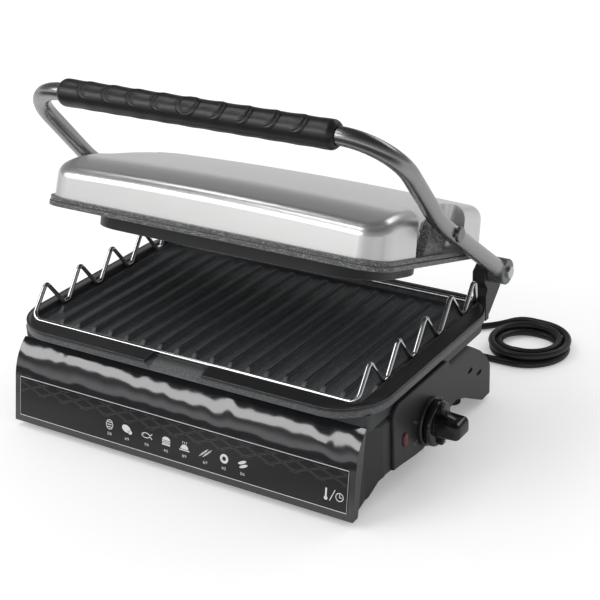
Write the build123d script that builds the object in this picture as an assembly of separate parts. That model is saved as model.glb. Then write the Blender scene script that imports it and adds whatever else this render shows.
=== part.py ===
"""Countertop contact grill: a heated base, a lid that floats on a swinging handle, a lift-out wire rack.

Millimetres. X runs to the user's right, Y to the back, Z up. While the part is drawn, X = 0 is the
plane of symmetry of the plates and Z = 0 is the worktop. The lid is drawn level, in its own (s, n)
frame, where s is the depth from its front edge and n the height above the underside of its flange.
"""

import os
from math import cos, hypot, radians, sin, tan

from build123d import *

# Clearances
RUNNING_FIT = 0.05  # radial, a shaft in its bore
SIDE_GAP = 0.5  # between faces that swing past each other
SEAT_GAP = 0.3  # around loose and dropped-in pieces

# Lower cooking plate, a casting
PLATE_HALF_WIDTH = 182.0
PLATE_FRONT = -39.0
PLATE_REAR = 200.0
PLATE_FRONT_CORNER = 44.0
PLATE_REAR_CORNER = 38.0
FLANGE_BOTTOM = 87.5
FLANGE_THICKNESS = 8.0
CREST_HEIGHT = 2.5  # of the sloping land above the flange
CREST_WIDTH = 2.0
WELL_HALF_WIDTH = 168.5
WELL_FRONT = -25.0
WELL_REAR = 191.0
WELL_CORNER = 12.0
WELL_DRAFT = 2.0
WELL_FLOOR = 89.0
RIB_PITCH = 18.0
RIB_COUNT = 19
RIB_HEIGHT = 5.0
RIB_ROOT_WIDTH = 5.0
RIB_TOP_WIDTH = 3.0
RIB_FRONT = -11.0
RIB_REAR = 178.0
RIB_END_SLOPE = 5.0
OUTER_RIB_SETBACK = 21.0
SPOUT_HALF_WIDTH = 29.0
HEATER_BAY_WALL = 12.0
HEATER_BAY_ROOF = 84.0

# Frame that carries the plate, and the plastic base under it
FRAME_HALF_WIDTH = 176.0
FRAME_FRONT = -24.0
FRAME_REAR = 197.0
FRAME_WALL = 3.0
FRAME_FRONT_CORNER = 6.0
FRAME_REAR_CORNER = 26.0
FRAME_LEDGE = 14.0
FRAME_SHEET = 2.0
BASE_TOP = 74.0
BASE_HALF_WIDTH = 177.0
BASE_NOSE_HALF_WIDTH = 171.0
BASE_NOSE_REAR = -23.0
BASE_FOLD_REAR = -3.0
BASE_REAR = 200.0
BASE_WALL = 3.0
BASE_SHOULDER_WIDTH = 11.0
BASE_SHOULDER_RADIUS = 8.0
BASE_FLOOR = 27.0
BASE_CAVITY_REAR = 138.0
LEG_HEIGHT = 6.0
FOOT_RADIUS = 8.0
FOOT_SPAN = 150.0
FOOT_FRONT = -30.0
FOOT_REAR = 172.0
HATCH_HALF_WIDTH = 110.0
HATCH_FRONT = 20.0
HATCH_REAR = 130.0
HATCH_LAP = 12.0
HATCH_SHEET = 2.0

# Glossy front cover, leaning back, rolled in at the top
COVER_HALF_WIDTH = 175.0
COVER_SHEET = 2.5
COVER_TOE = -49.5
COVER_BOTTOM = 6.0
COVER_LEAN = 10.1  # degrees from upright
COVER_STRAIGHT = 42.7
COVER_ROLL_RADIUS = 48.9
COVER_ROLL = 60.0  # degrees
COVER_RETURN = 8.0
LABEL_HALF_WIDTH = 169.5
LABEL_BOTTOM = 5.8  # up the leaning face, from its lower edge
LABEL_TOP = 42.7
LABEL_FILM = 0.3

# Thermostat side
POD_FACE = 180.0
POD_FRONT = 10.0
POD_REAR = 110.0
POD_TOP = 80.0
POD_CORNER = 10.0
KNOB_Y = 69.0
KNOB_Z = 40.0
BEZEL_RADIUS = 21.0
BEZEL_THICKNESS = 4.0
KNOB_RADIUS = 20.0
KNOB_SKIRT = 6.0
KNOB_GRIP_REACH = 22.0
KNOB_GRIP_WIDTH = 17.0
KNOB_GRIP_LENGTH = 25.0
KNOB_WEB_THICKNESS = 6.5
KNOB_WEB_REACH = 14.0
SHAFT_RADIUS = 3.0
SHAFT_HOLE_RADIUS = 4.0
THERMOSTAT_DEPTH = 17.0
LAMP_Y = 28.0
LAMP_Z = 43.0
LAMP_HEIGHT = 13.0
LAMP_WIDTH = 8.0
LAMP_DOME = 1.5

# Hinge at the back and the handle that swings on it
HINGE_Y = 209.0
HINGE_Z = 121.0
BRACKET_OUTER = 170.5
BRACKET_THICKNESS = 12.0
BRACKET_HEAD = 9.0
BRACKET_FOOT_INNER = 118.0
BRACKET_FOOT_THICKNESS = 6.0
ARM_PLANE = 178.5
TUBE_RADIUS = 7.5
TUBE_WALL = 1.5
HINGE_CAP_RADIUS = 11.5
HINGE_NECK_LENGTH = 16.0
HINGE_SPIGOT_LENGTH = 18.0
ELBOW_Y = 92.5
ELBOW_Z = 206.5
ELBOW_RADIUS = 150.0
GRIP_Y = 14.7
GRIP_Z = 297.4
HANDLE_CORNER = 45.0
GRIP_HALF_LENGTH = 133.3
GRIP_RADIUS = 12.5
PIN_RADIUS = 4.0
PIN_HEAD_RADIUS = 5.5
PIN_HEAD_THICKNESS = 3.0

# Lid
LID_TILT = 16.8  # degrees, rear lower
PIVOT_Y = 110.0
PIVOT_Z = 193.0
PIVOT_S = 98.8
PIVOT_N = 28.0
LID_FLANGE_HALF_WIDTH = 170.5
LID_DEPTH = 200.0
LID_FLANGE_CORNER = 24.0
LID_FLANGE_THICKNESS = 8.0
LID_BODY_HALF_WIDTH = 145.0
LID_BODY_FRONT = 29.5
LID_BODY_REAR = 160.0
LID_BODY_DEPTH = 15.0
LID_BODY_FRONT_CORNER = 42.0
LID_BODY_REAR_CORNER = 64.0
LID_BODY_WALL = 11.0
LID_RIM_WIDTH = 5.0
LID_RIB_HEIGHT = 3.0
LID_RIB_COUNT = 15
LID_COVER_HALF_WIDTH = 168.0
LID_COVER_FRONT = 5.0
LID_COVER_REAR = 196.0
LID_COVER_FRONT_CORNER = 22.0
LID_COVER_REAR_CORNER = 16.0
LID_COVER_DRAFT = 3.0  # degrees
LID_COVER_FRONT_TOP = 32.0
LID_COVER_CREASE_S = 50.0
LID_COVER_CREASE_TOP = 47.0
LID_COVER_CROWN_S = 115.0
LID_COVER_CROWN_TOP = 48.8
LID_COVER_REAR_TOP = 44.8
LID_COVER_CROWN_RADIUS = 4200.0  # across the lid
LID_COVER_ROUND = 12.0
LID_COVER_SHEET = 2.0
LID_POCKET_FRONT = 63.0
LID_POCKET_REAR = 150.0
LID_POCKET_FLOOR_X = 150.0
LID_POCKET_ROUND = 10.0
LUG_INNER = 158.0
LUG_OUTER = 166.0
LUG_HALF_BASE = 19.0
LUG_HEAD_RADIUS = 10.0
PIVOT_NUT_THICKNESS = 4.0
PIVOT_NUT_RADIUS = 6.5
HEATER_RADIUS = 3.3
HEATER_SPAN = 118.0

# Wire rack that stands in the plate's well
WIRE_RADIUS = 2.0
RACK_HALF_WIDTH = 165.0
RACK_FRONT = -21.6
RACK_REAR = 187.5
RACK_LOW = 96.0
RACK_PEAK = 122.5
RACK_PITCH = 46.3
RACK_PEAK_COUNT = 5
RACK_VALLEY_FLAT = 7.0
RACK_BEND = 3.5
RACK_CORNER = 8.0

# Mains cord
CORD_RADIUS = 3.25
CORD_EXIT_X = 60.0
CORD_EXIT_Z = 34.0
RELIEF_START = 180.0
RELIEF_SHOULDER = 193.0
RELIEF_END = 219.0
RELIEF_ROOT_RADIUS = 6.5
RELIEF_TIP_RADIUS = 4.0
COIL_X = 167.0
COIL_Y = 300.3
COIL_INNER_RADIUS = 29.0
COIL_CLIMB_STEP = 3.0
COIL_PITCH = 7.2
COIL_HALF_TURNS = 3  # in each of its two layers
PLUG_RADIUS = 18.5
PLUG_LENGTH = 34.0
PLUG_TAIL = 18.0
PLUG_PIN_RADIUS = 2.4
PLUG_PIN_LENGTH = 19.0
PLUG_PIN_SPACING = 19.0
PLUG_X = 42.0
PLUG_Y = 287.0

FLANGE_TOP = FLANGE_BOTTOM + FLANGE_THICKNESS
CREST_Z = FLANGE_TOP + CREST_HEIGHT
COIL_OUTER_RADIUS = COIL_INNER_RADIUS + COIL_HALF_TURNS * COIL_PITCH / 2
LEAN_SIN = sin(radians(COVER_LEAN))
LEAN_COS = cos(radians(COVER_LEAN))
RIGHT_AND_LEFT = (1, -1)

# The drawn part is shifted so that the middle of its footprint, without the cord, is the origin.
KNOB_FACE = POD_FACE + BEZEL_THICKNESS + 1.0
HINGE_CAP_INNER = BRACKET_OUTER + SIDE_GAP
HINGE_CAP_OUTER = 2 * ARM_PLANE - HINGE_CAP_INNER
PIN_END = HINGE_CAP_OUTER + PIN_HEAD_THICKNESS
RIGHT_END = KNOB_FACE + KNOB_SKIRT + KNOB_GRIP_REACH
BRACKET_REAR = HINGE_Y + 18.0
X_MIDDLE = (RIGHT_END - PIN_END) / 2
Y_MIDDLE = (COVER_TOE + BRACKET_REAR) / 2


def keep(name, shape):
    """Write one sub-part in the shared frame."""
    export_step(Pos(-X_MIDDLE, -Y_MIDDLE, 0) * shape, f"parts/{name}.step")


def rounded_plan(half_width, front, rear, front_radius, rear_radius):
    """A plan outline about X = 0 with its own front and rear corner radii."""
    outline = Pos(0, (front + rear) / 2, 0) * Rectangle(2 * half_width, rear - front)
    outline = fillet(outline.vertices().group_by(Axis.Y)[0], front_radius)
    return fillet(outline.vertices().group_by(Axis.Y)[-1], rear_radius)


def side_section(points):
    """A face in the YZ plane from (y, z) points."""
    return Plane.YZ * make_face(Polyline(*points, close=True))


def along_y(radius, y_start, y_end, x=0.0, z=0.0):
    """A round bar parallel to Y."""
    return Pos(x, y_start, z) * Rot(-90, 0, 0) * extrude(Circle(radius), y_end - y_start)


def across(section, half_width):
    """Extrude a YZ section to both sides of X = 0."""
    return extrude(section, half_width, both=True)


def along_x(radius, x_start, x_end, y=0.0, z=0.0):
    """A round bar parallel to X."""
    return Pos(x_start, y, z) * Rot(0, 90, 0) * extrude(Circle(radius), x_end - x_start)


def mirrored_pair(shape):
    """The piece and its mirror image, as two separate solids."""
    return Compound(children=[shape, mirror(shape, Plane.YZ)])


def on_side(shape, side):
    """The right-hand piece, or its mirror image on the left."""
    return shape if side > 0 else mirror(shape, Plane.YZ)


def tube(path, radius):
    """A round bar along a path of lines and tangent arcs."""
    return sweep(Plane(path @ 0, z_dir=path % 0) * Circle(radius), path=path)


def fuse_all(first, others):
    """Fuse a list of shapes with the first one in a single step."""
    return first.fuse(*others)


def trapezoid_rib(centre_x, front, rear, root_z, height):
    """A cooking rib with tapered sides and sloping ends; a negative height hangs down."""
    root = Pos(centre_x, (front + rear) / 2, root_z) * Rectangle(RIB_ROOT_WIDTH, rear - front)
    crown_length = rear - front - 2 * RIB_END_SLOPE
    crown = Pos(centre_x, (front + rear) / 2, root_z + height) * Rectangle(RIB_TOP_WIDTH, crown_length)
    lower, upper = (root, crown) if height > 0 else (crown, root)
    return loft([lower.face(), upper.face()], ruled=True)


def lower_plate():
    """The ribbed base plate: flange, sloping land, well, ribs, pouring spout and heater bay."""
    flange = extrude(
        Pos(0, 0, FLANGE_BOTTOM)
        * rounded_plan(PLATE_HALF_WIDTH, PLATE_FRONT, PLATE_REAR, PLATE_FRONT_CORNER, PLATE_REAR_CORNER),
        FLANGE_THICKNESS,
    )
    band = 2.0
    land_foot = Pos(0, 0, FLANGE_TOP) * rounded_plan(
        PLATE_HALF_WIDTH - band,
        PLATE_FRONT + band,
        PLATE_REAR - band,
        PLATE_FRONT_CORNER - band,
        PLATE_REAR_CORNER - band,
    )
    land_crest = Pos(0, 0, CREST_Z) * rounded_plan(
        WELL_HALF_WIDTH + CREST_WIDTH,
        WELL_FRONT - CREST_WIDTH,
        WELL_REAR + CREST_WIDTH,
        WELL_CORNER + CREST_WIDTH,
        WELL_CORNER + CREST_WIDTH,
    )
    land = loft([land_foot.face(), land_crest.face()], ruled=True)
    body_half_width = FRAME_HALF_WIDTH - FRAME_WALL - SIDE_GAP
    body_front = FRAME_FRONT + FRAME_WALL + SIDE_GAP
    body_rear = FRAME_REAR - FRAME_WALL - SIDE_GAP
    body_bottom = BASE_TOP + FRAME_SHEET
    body = extrude(
        Pos(0, 0, body_bottom)
        * rounded_plan(body_half_width, body_front, body_rear, FRAME_FRONT_CORNER, FRAME_REAR_CORNER - FRAME_WALL),
        FLANGE_BOTTOM - body_bottom,
    )
    bay = extrude(
        Pos(0, 0, body_bottom)
        * rounded_plan(
            body_half_width - HEATER_BAY_WALL,
            body_front + HEATER_BAY_WALL,
            body_rear - HEATER_BAY_WALL,
            WELL_CORNER,
            WELL_CORNER,
        ),
        HEATER_BAY_ROOF - body_bottom,
    )
    well_floor = Pos(0, 0, WELL_FLOOR) * rounded_plan(
        WELL_HALF_WIDTH - WELL_DRAFT,
        WELL_FRONT + WELL_DRAFT,
        WELL_REAR - WELL_DRAFT,
        WELL_CORNER - WELL_DRAFT,
        WELL_CORNER - WELL_DRAFT,
    )
    well_mouth = Pos(0, 0, CREST_Z) * rounded_plan(
        WELL_HALF_WIDTH, WELL_FRONT, WELL_REAR, WELL_CORNER, WELL_CORNER
    )
    well = loft([well_floor.face(), well_mouth.face()], ruled=True)
    spout_section = side_section(
        [
            (PLATE_FRONT - 1, FLANGE_BOTTOM + 0.5),
            (PLATE_FRONT - 1, CREST_Z + 5),
            (WELL_FRONT + 3, CREST_Z + 5),
            (WELL_FRONT + 3, FLANGE_TOP + 1),
        ]
    )
    spout = across(spout_section, SPOUT_HALF_WIDTH)
    spout_floor = spout.faces().sort_by(Axis.Z)[0]
    spout_sides = spout_floor.edges().sort_by(Axis.X)
    spout = fillet([spout_sides[0], spout_sides[-1]], 6.0)
    ribs = []
    for index in range(RIB_COUNT):
        offset = index - (RIB_COUNT - 1) / 2
        outermost = index in (0, RIB_COUNT - 1)
        setback = OUTER_RIB_SETBACK if outermost else 0.0
        ribs.append(
            trapezoid_rib(offset * RIB_PITCH, RIB_FRONT + setback, RIB_REAR - setback, WELL_FLOOR, RIB_HEIGHT)
        )
    plate = fuse_all(flange, [land, body]) - well - bay - spout
    return fuse_all(plate, ribs)


def frame_slab(bottom, top, inset):
    """A slab with the frame's outline, drawn in by an inset."""
    plan = rounded_plan(
        FRAME_HALF_WIDTH - inset,
        FRAME_FRONT + inset,
        FRAME_REAR - inset,
        FRAME_FRONT_CORNER - inset,
        FRAME_REAR_CORNER - inset,
    )
    return extrude(Pos(0, 0, bottom) * plan, top - bottom)


def plate_frame():
    """The sheet frame around the plate's underside, with a ledge that lies on the base."""
    ring = frame_slab(BASE_TOP, FLANGE_BOTTOM, 0)
    ring -= frame_slab(BASE_TOP + FRAME_SHEET, FLANGE_BOTTOM, FRAME_WALL)
    opening = rounded_plan(
        FRAME_HALF_WIDTH - FRAME_LEDGE, FRAME_FRONT + FRAME_LEDGE, FRAME_REAR - FRAME_LEDGE, 6.0, 6.0
    )
    return ring - extrude(Pos(0, 0, BASE_TOP) * opening, FRAME_SHEET)


def cover_curve(depth):
    """The front cover's outer profile in (y, z), moved inwards by a depth: a leaning line and a roll."""
    foot = (COVER_TOE + depth * LEAN_COS, COVER_BOTTOM - depth * LEAN_SIN)
    knee = (foot[0] + COVER_STRAIGHT * LEAN_SIN, foot[1] + COVER_STRAIGHT * LEAN_COS)
    roll_radius = COVER_ROLL_RADIUS - depth
    centre = (knee[0] + roll_radius * LEAN_COS, knee[1] - roll_radius * LEAN_SIN)
    first = radians(180 - COVER_LEAN)
    middle = first - radians(COVER_ROLL / 2)
    last = first - radians(COVER_ROLL)
    roll_middle = (centre[0] + roll_radius * cos(middle), centre[1] + roll_radius * sin(middle))
    roll_end = (centre[0] + roll_radius * cos(last), centre[1] + roll_radius * sin(last))
    return Line(foot, knee) + ThreePointArc(knee, roll_middle, roll_end)


def behind_cover(depth):
    """A solid that fills everything behind the cover's profile at a depth."""
    curve = cover_curve(depth)
    foot = curve @ 0
    top = curve @ 1
    far = BASE_REAR + 60
    closing = Polyline((top.X, top.Y), (far, top.Y), (far, COVER_BOTTOM - 20), (foot.X, COVER_BOTTOM - 20), (foot.X, foot.Y))
    return across(Plane.YZ * make_face(curve + closing), BASE_HALF_WIDTH + 20)


def front_cover():
    """The glossy moulding across the front, with end walls."""
    skin = behind_cover(0) - behind_cover(COVER_SHEET)
    skin &= Pos(0, 0, COVER_BOTTOM) * Box(
        2 * COVER_HALF_WIDTH, 400, 200, align=(Align.CENTER, Align.CENTER, Align.MIN)
    )
    end_section = side_section(
        [
            (COVER_TOE, COVER_BOTTOM),
            (COVER_TOE + COVER_RETURN, COVER_BOTTOM),
            (FRAME_FRONT, BASE_TOP + 5.4),
            (FRAME_FRONT, BASE_TOP + 20),
            (COVER_TOE, BASE_TOP + 20),
        ]
    )
    ends = across(end_section, COVER_HALF_WIDTH) & behind_cover(0)
    ends -= across(end_section, COVER_HALF_WIDTH - COVER_SHEET)
    cover = skin + ends
    trim = Pos(0, FRAME_FRONT, 0) * Box(600, 600, 300, align=(Align.CENTER, Align.MIN, Align.MIN))
    return cover - trim


def front_label():
    """The printed film on the cover's leaning face."""
    foot = (COVER_TOE, COVER_BOTTOM)
    film = []
    for distance, depth in ((LABEL_BOTTOM, 0), (LABEL_TOP, 0), (LABEL_TOP, -LABEL_FILM), (LABEL_BOTTOM, -LABEL_FILM)):
        y = foot[0] + distance * LEAN_SIN + depth * LEAN_COS
        z = foot[1] + distance * LEAN_COS - depth * LEAN_SIN
        film.append((y, z))
    return across(side_section(film), LABEL_HALF_WIDTH)


def base_plan(inset):
    """The base's outline from above: a narrower nose that folds out to the full width."""
    nose = BASE_NOSE_HALF_WIDTH - inset
    full = BASE_HALF_WIDTH - inset
    right = [(nose, COVER_TOE - 20), (nose, BASE_NOSE_REAR), (full, BASE_FOLD_REAR), (full, BASE_REAR - inset)]
    left = [(-x, y) for x, y in reversed(right)]
    outline = make_face(Polyline(*right, *left, close=True))
    return fillet(outline.vertices().group_by(Axis.Y)[-1], 8.0)


def base_side_profile():
    """The base seen from the side: front leg, raised skirt, rear foot and sloping shoulder."""
    return side_section(
        [
            (COVER_TOE - 10, LEG_HEIGHT + 1),
            (-35, LEG_HEIGHT + 1),
            (-19, 12),
            (-8, 22),
            (0, 24),
            (20, 22),
            (48, 18),
            (60, 17),
            (112, 29),
            (127, 31),
            (143, 25),
            (152, 20),
            (178, LEG_HEIGHT),
            (BASE_REAR, LEG_HEIGHT),
            (BASE_REAR, 25),
            (BASE_REAR - 13, 45),
            (BASE_REAR - 27, 58),
            (BASE_REAR - 52, BASE_TOP),
            (COVER_TOE - 10, BASE_TOP),
        ]
    )


def base_block():
    """The base's outer form, before it is hollowed."""
    block = extrude(base_plan(0), BASE_TOP) & across(base_side_profile(), BASE_HALF_WIDTH + 5)
    front_view = Rectangle(2 * BASE_HALF_WIDTH, 2 * BASE_TOP)
    front_view = fillet(front_view.vertices().group_by(Axis.Y)[-1], BASE_SHOULDER_RADIUS)
    block &= extrude(Plane.XZ * front_view, 400, both=True)
    return block & behind_cover(COVER_SHEET + SIDE_GAP)


def base_housing(block):
    """The plastic base: open top, a floor with a service hatch, feet bosses and side slots."""
    floor_top = BASE_FLOOR + BASE_WALL
    cavity_section = side_section(
        [
            (COVER_TOE, floor_top),
            (BASE_CAVITY_REAR, floor_top),
            (BASE_CAVITY_REAR, BASE_TOP + 1),
            (COVER_TOE, BASE_TOP + 1),
        ]
    )
    inner = behind_cover(COVER_SHEET + SIDE_GAP + BASE_WALL)
    cavity = across(cavity_section, BASE_HALF_WIDTH - BASE_SHOULDER_WIDTH) & inner
    recess_section = side_section(
        [(COVER_TOE, -1), (BASE_REAR - BASE_WALL - 6, -1), (BASE_REAR - BASE_WALL - 6, BASE_FLOOR), (COVER_TOE, BASE_FLOOR)]
    )
    recess = extrude(Pos(0, 0, -1) * base_plan(BASE_WALL), BASE_FLOOR + 1)
    recess = recess & across(recess_section, BASE_HALF_WIDTH) & inner
    hatch = Pos(0, (HATCH_FRONT + HATCH_REAR) / 2, BASE_FLOOR) * Box(
        2 * HATCH_HALF_WIDTH, HATCH_REAR - HATCH_FRONT, 2 * BASE_WALL
    )
    floor = extrude(Pos(0, 0, BASE_FLOOR) * base_plan(BASE_WALL), BASE_WALL + 2)
    floor &= across(side_section([(COVER_TOE, 0), (180, 0), (180, 60), (COVER_TOE, 60)]), BASE_HALF_WIDTH) & inner
    housing = (block - recess + floor) - cavity - hatch
    for x, y in hatch_screw_places():
        housing -= Pos(x, y, BASE_FLOOR) * Cylinder(2.0, 4 * BASE_WALL)
    bosses = []
    for x in (-FOOT_SPAN, FOOT_SPAN):
        for y in (FOOT_FRONT, FOOT_REAR):
            boss = Pos(x, y, LEG_HEIGHT) * extrude(Circle(FOOT_RADIUS + 1), BASE_FLOOR - LEG_HEIGHT)
            bosses.append(boss & inner)
    housing = fuse_all(housing, bosses)
    for y, z in ((153, 47), (171, 37)):
        slot = extrude(Plane.YZ * Pos(y, z) * SlotOverall(9, 4), BASE_HALF_WIDTH + 1, both=True)
        slot -= Box(2 * (BASE_HALF_WIDTH - 1.5), 800, 800)
        housing -= slot
    housing -= along_x(SHAFT_HOLE_RADIUS, 150, BASE_HALF_WIDTH + 5, KNOB_Y, KNOB_Z)
    lamp_hole = Plane.YZ * Pos(LAMP_Y, LAMP_Z) * SlotOverall(LAMP_HEIGHT, LAMP_WIDTH, rotation=90)
    housing -= Pos(150, 0, 0) * extrude(lamp_hole, 40)
    housing -= along_y(CORD_RADIUS + 1, BASE_CAVITY_REAR - 5, BASE_REAR, CORD_EXIT_X, CORD_EXIT_Z)
    return housing - along_y(RELIEF_ROOT_RADIUS, RELIEF_START, BASE_REAR + 5, CORD_EXIT_X, CORD_EXIT_Z)



def bottom_cover():
    """The sheet that closes the service hatch from below, with two rows of air slots."""
    length = HATCH_REAR - HATCH_FRONT + 2 * HATCH_LAP
    middle = (HATCH_FRONT + HATCH_REAR) / 2
    sheet = RectangleRounded(2 * (HATCH_HALF_WIDTH + HATCH_LAP), length, 6)
    slots = [
        Pos(column * 18, row * 26) * SlotOverall(36, 4, rotation=90)
        for column in range(-4, 5)
        for row in (-1, 1)
    ]
    for slot in slots:
        sheet -= slot
    plate = Pos(0, middle, BASE_FLOOR - HATCH_SHEET) * extrude(sheet, HATCH_SHEET)
    for x, y in hatch_screw_places():
        plate -= Pos(x, y, BASE_FLOOR) * Cylinder(2.0 + SEAT_GAP, 4 * HATCH_SHEET)
    return plate


def hatch_screw_places():
    """The four corners of the hatch cover's lap."""
    x = HATCH_HALF_WIDTH + HATCH_LAP / 2
    return [(side * x, y) for side in RIGHT_AND_LEFT for y in (HATCH_FRONT - 6, HATCH_REAR + 6)]


def hatch_screws():
    """Four pan-head screws under the hatch cover."""
    screws = []
    for x, y in hatch_screw_places():
        head = Pos(x, y, BASE_FLOOR - HATCH_SHEET - 2) * extrude(Circle(3.6), 2)
        head = fillet(head.edges().group_by(Axis.Z)[0], 0.8)
        shank = Pos(x, y, BASE_FLOOR - HATCH_SHEET) * extrude(Circle(2.0), HATCH_SHEET + BASE_WALL)
        screws.append(head + shank)
    return Compound(children=screws)


def rubber_feet():
    """Four round feet under the legs."""
    feet = []
    for x in (-FOOT_SPAN, FOOT_SPAN):
        for y in (FOOT_FRONT, FOOT_REAR):
            foot = extrude(Circle(FOOT_RADIUS), LEG_HEIGHT)
            foot = fillet(foot.edges().group_by(Axis.Z)[0], 1.2)
            feet.append(Pos(x, y, 0) * foot)
    return Compound(children=feet)


def lamp_slot():
    """The upright oval of the pilot lamp, in the YZ plane."""
    return Plane.YZ * Pos(LAMP_Y, LAMP_Z) * SlotOverall(LAMP_HEIGHT, LAMP_WIDTH, rotation=90)


def control_cover(block):
    """The moulded pod on the right side that carries the bezel and the pilot lamp."""
    outline = Pos((POD_FRONT + POD_REAR) / 2, POD_TOP / 2) * Rectangle(POD_REAR - POD_FRONT, POD_TOP)
    outline = fillet(outline.vertices(), POD_CORNER)
    pod_root = BASE_HALF_WIDTH - BASE_SHOULDER_RADIUS
    pod = Pos(pod_root, 0, 0) * extrude(Plane.YZ * outline, POD_FACE - pod_root)
    pod &= across(base_side_profile() + side_section([(0, 60), (130, 60), (130, 95), (0, 95)]), POD_FACE)
    pod = fillet(pod.faces().sort_by(Axis.X)[-1].edges(), 1.5)
    pod -= block
    pod -= frame_slab(BASE_TOP, FLANGE_BOTTOM, -SEAT_GAP)
    pod -= along_x(SHAFT_HOLE_RADIUS, pod_root, POD_FACE + 1, KNOB_Y, KNOB_Z)
    return pod - Pos(pod_root, 0, 0) * extrude(lamp_slot(), 40)


def lamp_lens():
    """The red lens with a softly domed face."""
    root = BASE_HALF_WIDTH - BASE_SHOULDER_WIDTH
    lens = Pos(root, 0, 0) * extrude(lamp_slot(), POD_FACE + LAMP_DOME - root)
    return fillet(lens.faces().sort_by(Axis.X)[-1].edges(), 1.2)


def knob_bezel():
    """The ring behind the knob."""
    ring = along_x(BEZEL_RADIUS, POD_FACE, POD_FACE + BEZEL_THICKNESS, KNOB_Y, KNOB_Z)
    ring = chamfer(ring.faces().sort_by(Axis.X)[-1].edges(), 1.2)
    return ring - along_x(SHAFT_HOLE_RADIUS, POD_FACE, POD_FACE + BEZEL_THICKNESS, KNOB_Y, KNOB_Z)


def knob():
    """The thermostat knob: a skirt, a stout grip bar, and a hollowed web above and below it."""
    skirt = along_x(KNOB_RADIUS, 0, KNOB_SKIRT)
    skirt = fillet(skirt.edges().group_by(Axis.X)[-1], 1.5)
    bar = Pos(KNOB_SKIRT, 0, 0) * extrude(
        Plane.YZ * RectangleRounded(KNOB_GRIP_LENGTH, KNOB_GRIP_WIDTH, 5), KNOB_GRIP_REACH, taper=5
    )
    bar = fillet(bar.faces().sort_by(Axis.X)[-1].edges(), 2.5)
    web_height = KNOB_RADIUS - 1.5
    web_root = KNOB_SKIRT - 0.5
    bar_side = KNOB_GRIP_WIDTH / 2
    web_tip = (KNOB_SKIRT + 4, web_height - 1)
    web_foot = (KNOB_SKIRT + KNOB_WEB_REACH, bar_side - 2)
    hollow = (KNOB_SKIRT + 6, bar_side + 2.5)
    web_section = Plane.XZ * make_face(
        ThreePointArc(web_tip, hollow, web_foot)
        + Polyline(web_foot, (web_root, 0), (web_root, web_height), web_tip)
    )
    web = extrude(web_section, KNOB_WEB_THICKNESS / 2, both=True)
    body = fuse_all(skirt, [bar, web, mirror(web, Plane.XY)])
    body -= along_x(SHAFT_RADIUS, 0, KNOB_SKIRT + 10)
    return Pos(KNOB_FACE, KNOB_Y, KNOB_Z) * body


def thermostat_back():
    """Where the thermostat's body starts inside the base."""
    return BASE_HALF_WIDTH - BASE_SHOULDER_WIDTH - THERMOSTAT_DEPTH


def thermostat_shaft():
    """The steel spindle from the thermostat to the knob."""
    return along_x(SHAFT_RADIUS, thermostat_back() + 3, KNOB_FACE + KNOB_SKIRT + 10, KNOB_Y, KNOB_Z)


def thermostat():
    """The capillary thermostat behind the base's right wall."""
    x = thermostat_back() + THERMOSTAT_DEPTH / 2
    height = 2 * (KNOB_Z - BASE_FLOOR - BASE_WALL)
    body = Pos(x, KNOB_Y, KNOB_Z) * Box(THERMOSTAT_DEPTH, 28, height)
    body = fillet(body.edges().filter_by(Axis.X), 3)
    bore = along_x(SHAFT_RADIUS + RUNNING_FIT, thermostat_back() + 2.9, BASE_HALF_WIDTH, KNOB_Y, KNOB_Z)
    tabs = [
        Pos(thermostat_back() - 4, KNOB_Y + offset, KNOB_Z) * Box(8, 6.3, 0.8) for offset in (-7, 7)
    ]
    return fuse_all(body - bore, tabs)


def terminal_block():
    """The screw terminals on the base's floor, beside the hatch."""
    x = -(HATCH_HALF_WIDTH + HATCH_LAP + 16)
    z = BASE_FLOOR + BASE_WALL + 8
    block = Pos(x, HATCH_REAR - 30, z) * Box(30, 16, 16)
    for offset in (-10, 0, 10):
        block -= along_y(2.5, HATCH_REAR - 50, HATCH_REAR - 10, x + offset, z)
    return block


def heater_loop(front, rear, height):
    """A U-shaped heating tube."""
    route = FilletPolyline(
        (HEATER_SPAN, front, height),
        (-HEATER_SPAN, front, height),
        (-HEATER_SPAN, rear, height),
        (HEATER_SPAN, rear, height),
        radius=30,
    )
    return tube(route, HEATER_RADIUS)


def lower_heat_reflector():
    """The bright sheet under the base plate's heater bay."""
    inset = FRAME_LEDGE + SEAT_GAP
    sheet = rounded_plan(FRAME_HALF_WIDTH - inset, FRAME_FRONT + inset, FRAME_REAR - inset, 8, 8)
    return extrude(Pos(0, 0, BASE_TOP + 1) * sheet, FRAME_SHEET - 1)


def bracket_screw_places():
    """Where the right hinge bracket's foot is screwed to the frame, as (x, z)."""
    height = BASE_TOP + 7
    return [(BRACKET_FOOT_INNER + 8, height), (BRACKET_FOOT_INNER + 32, height)]


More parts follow.
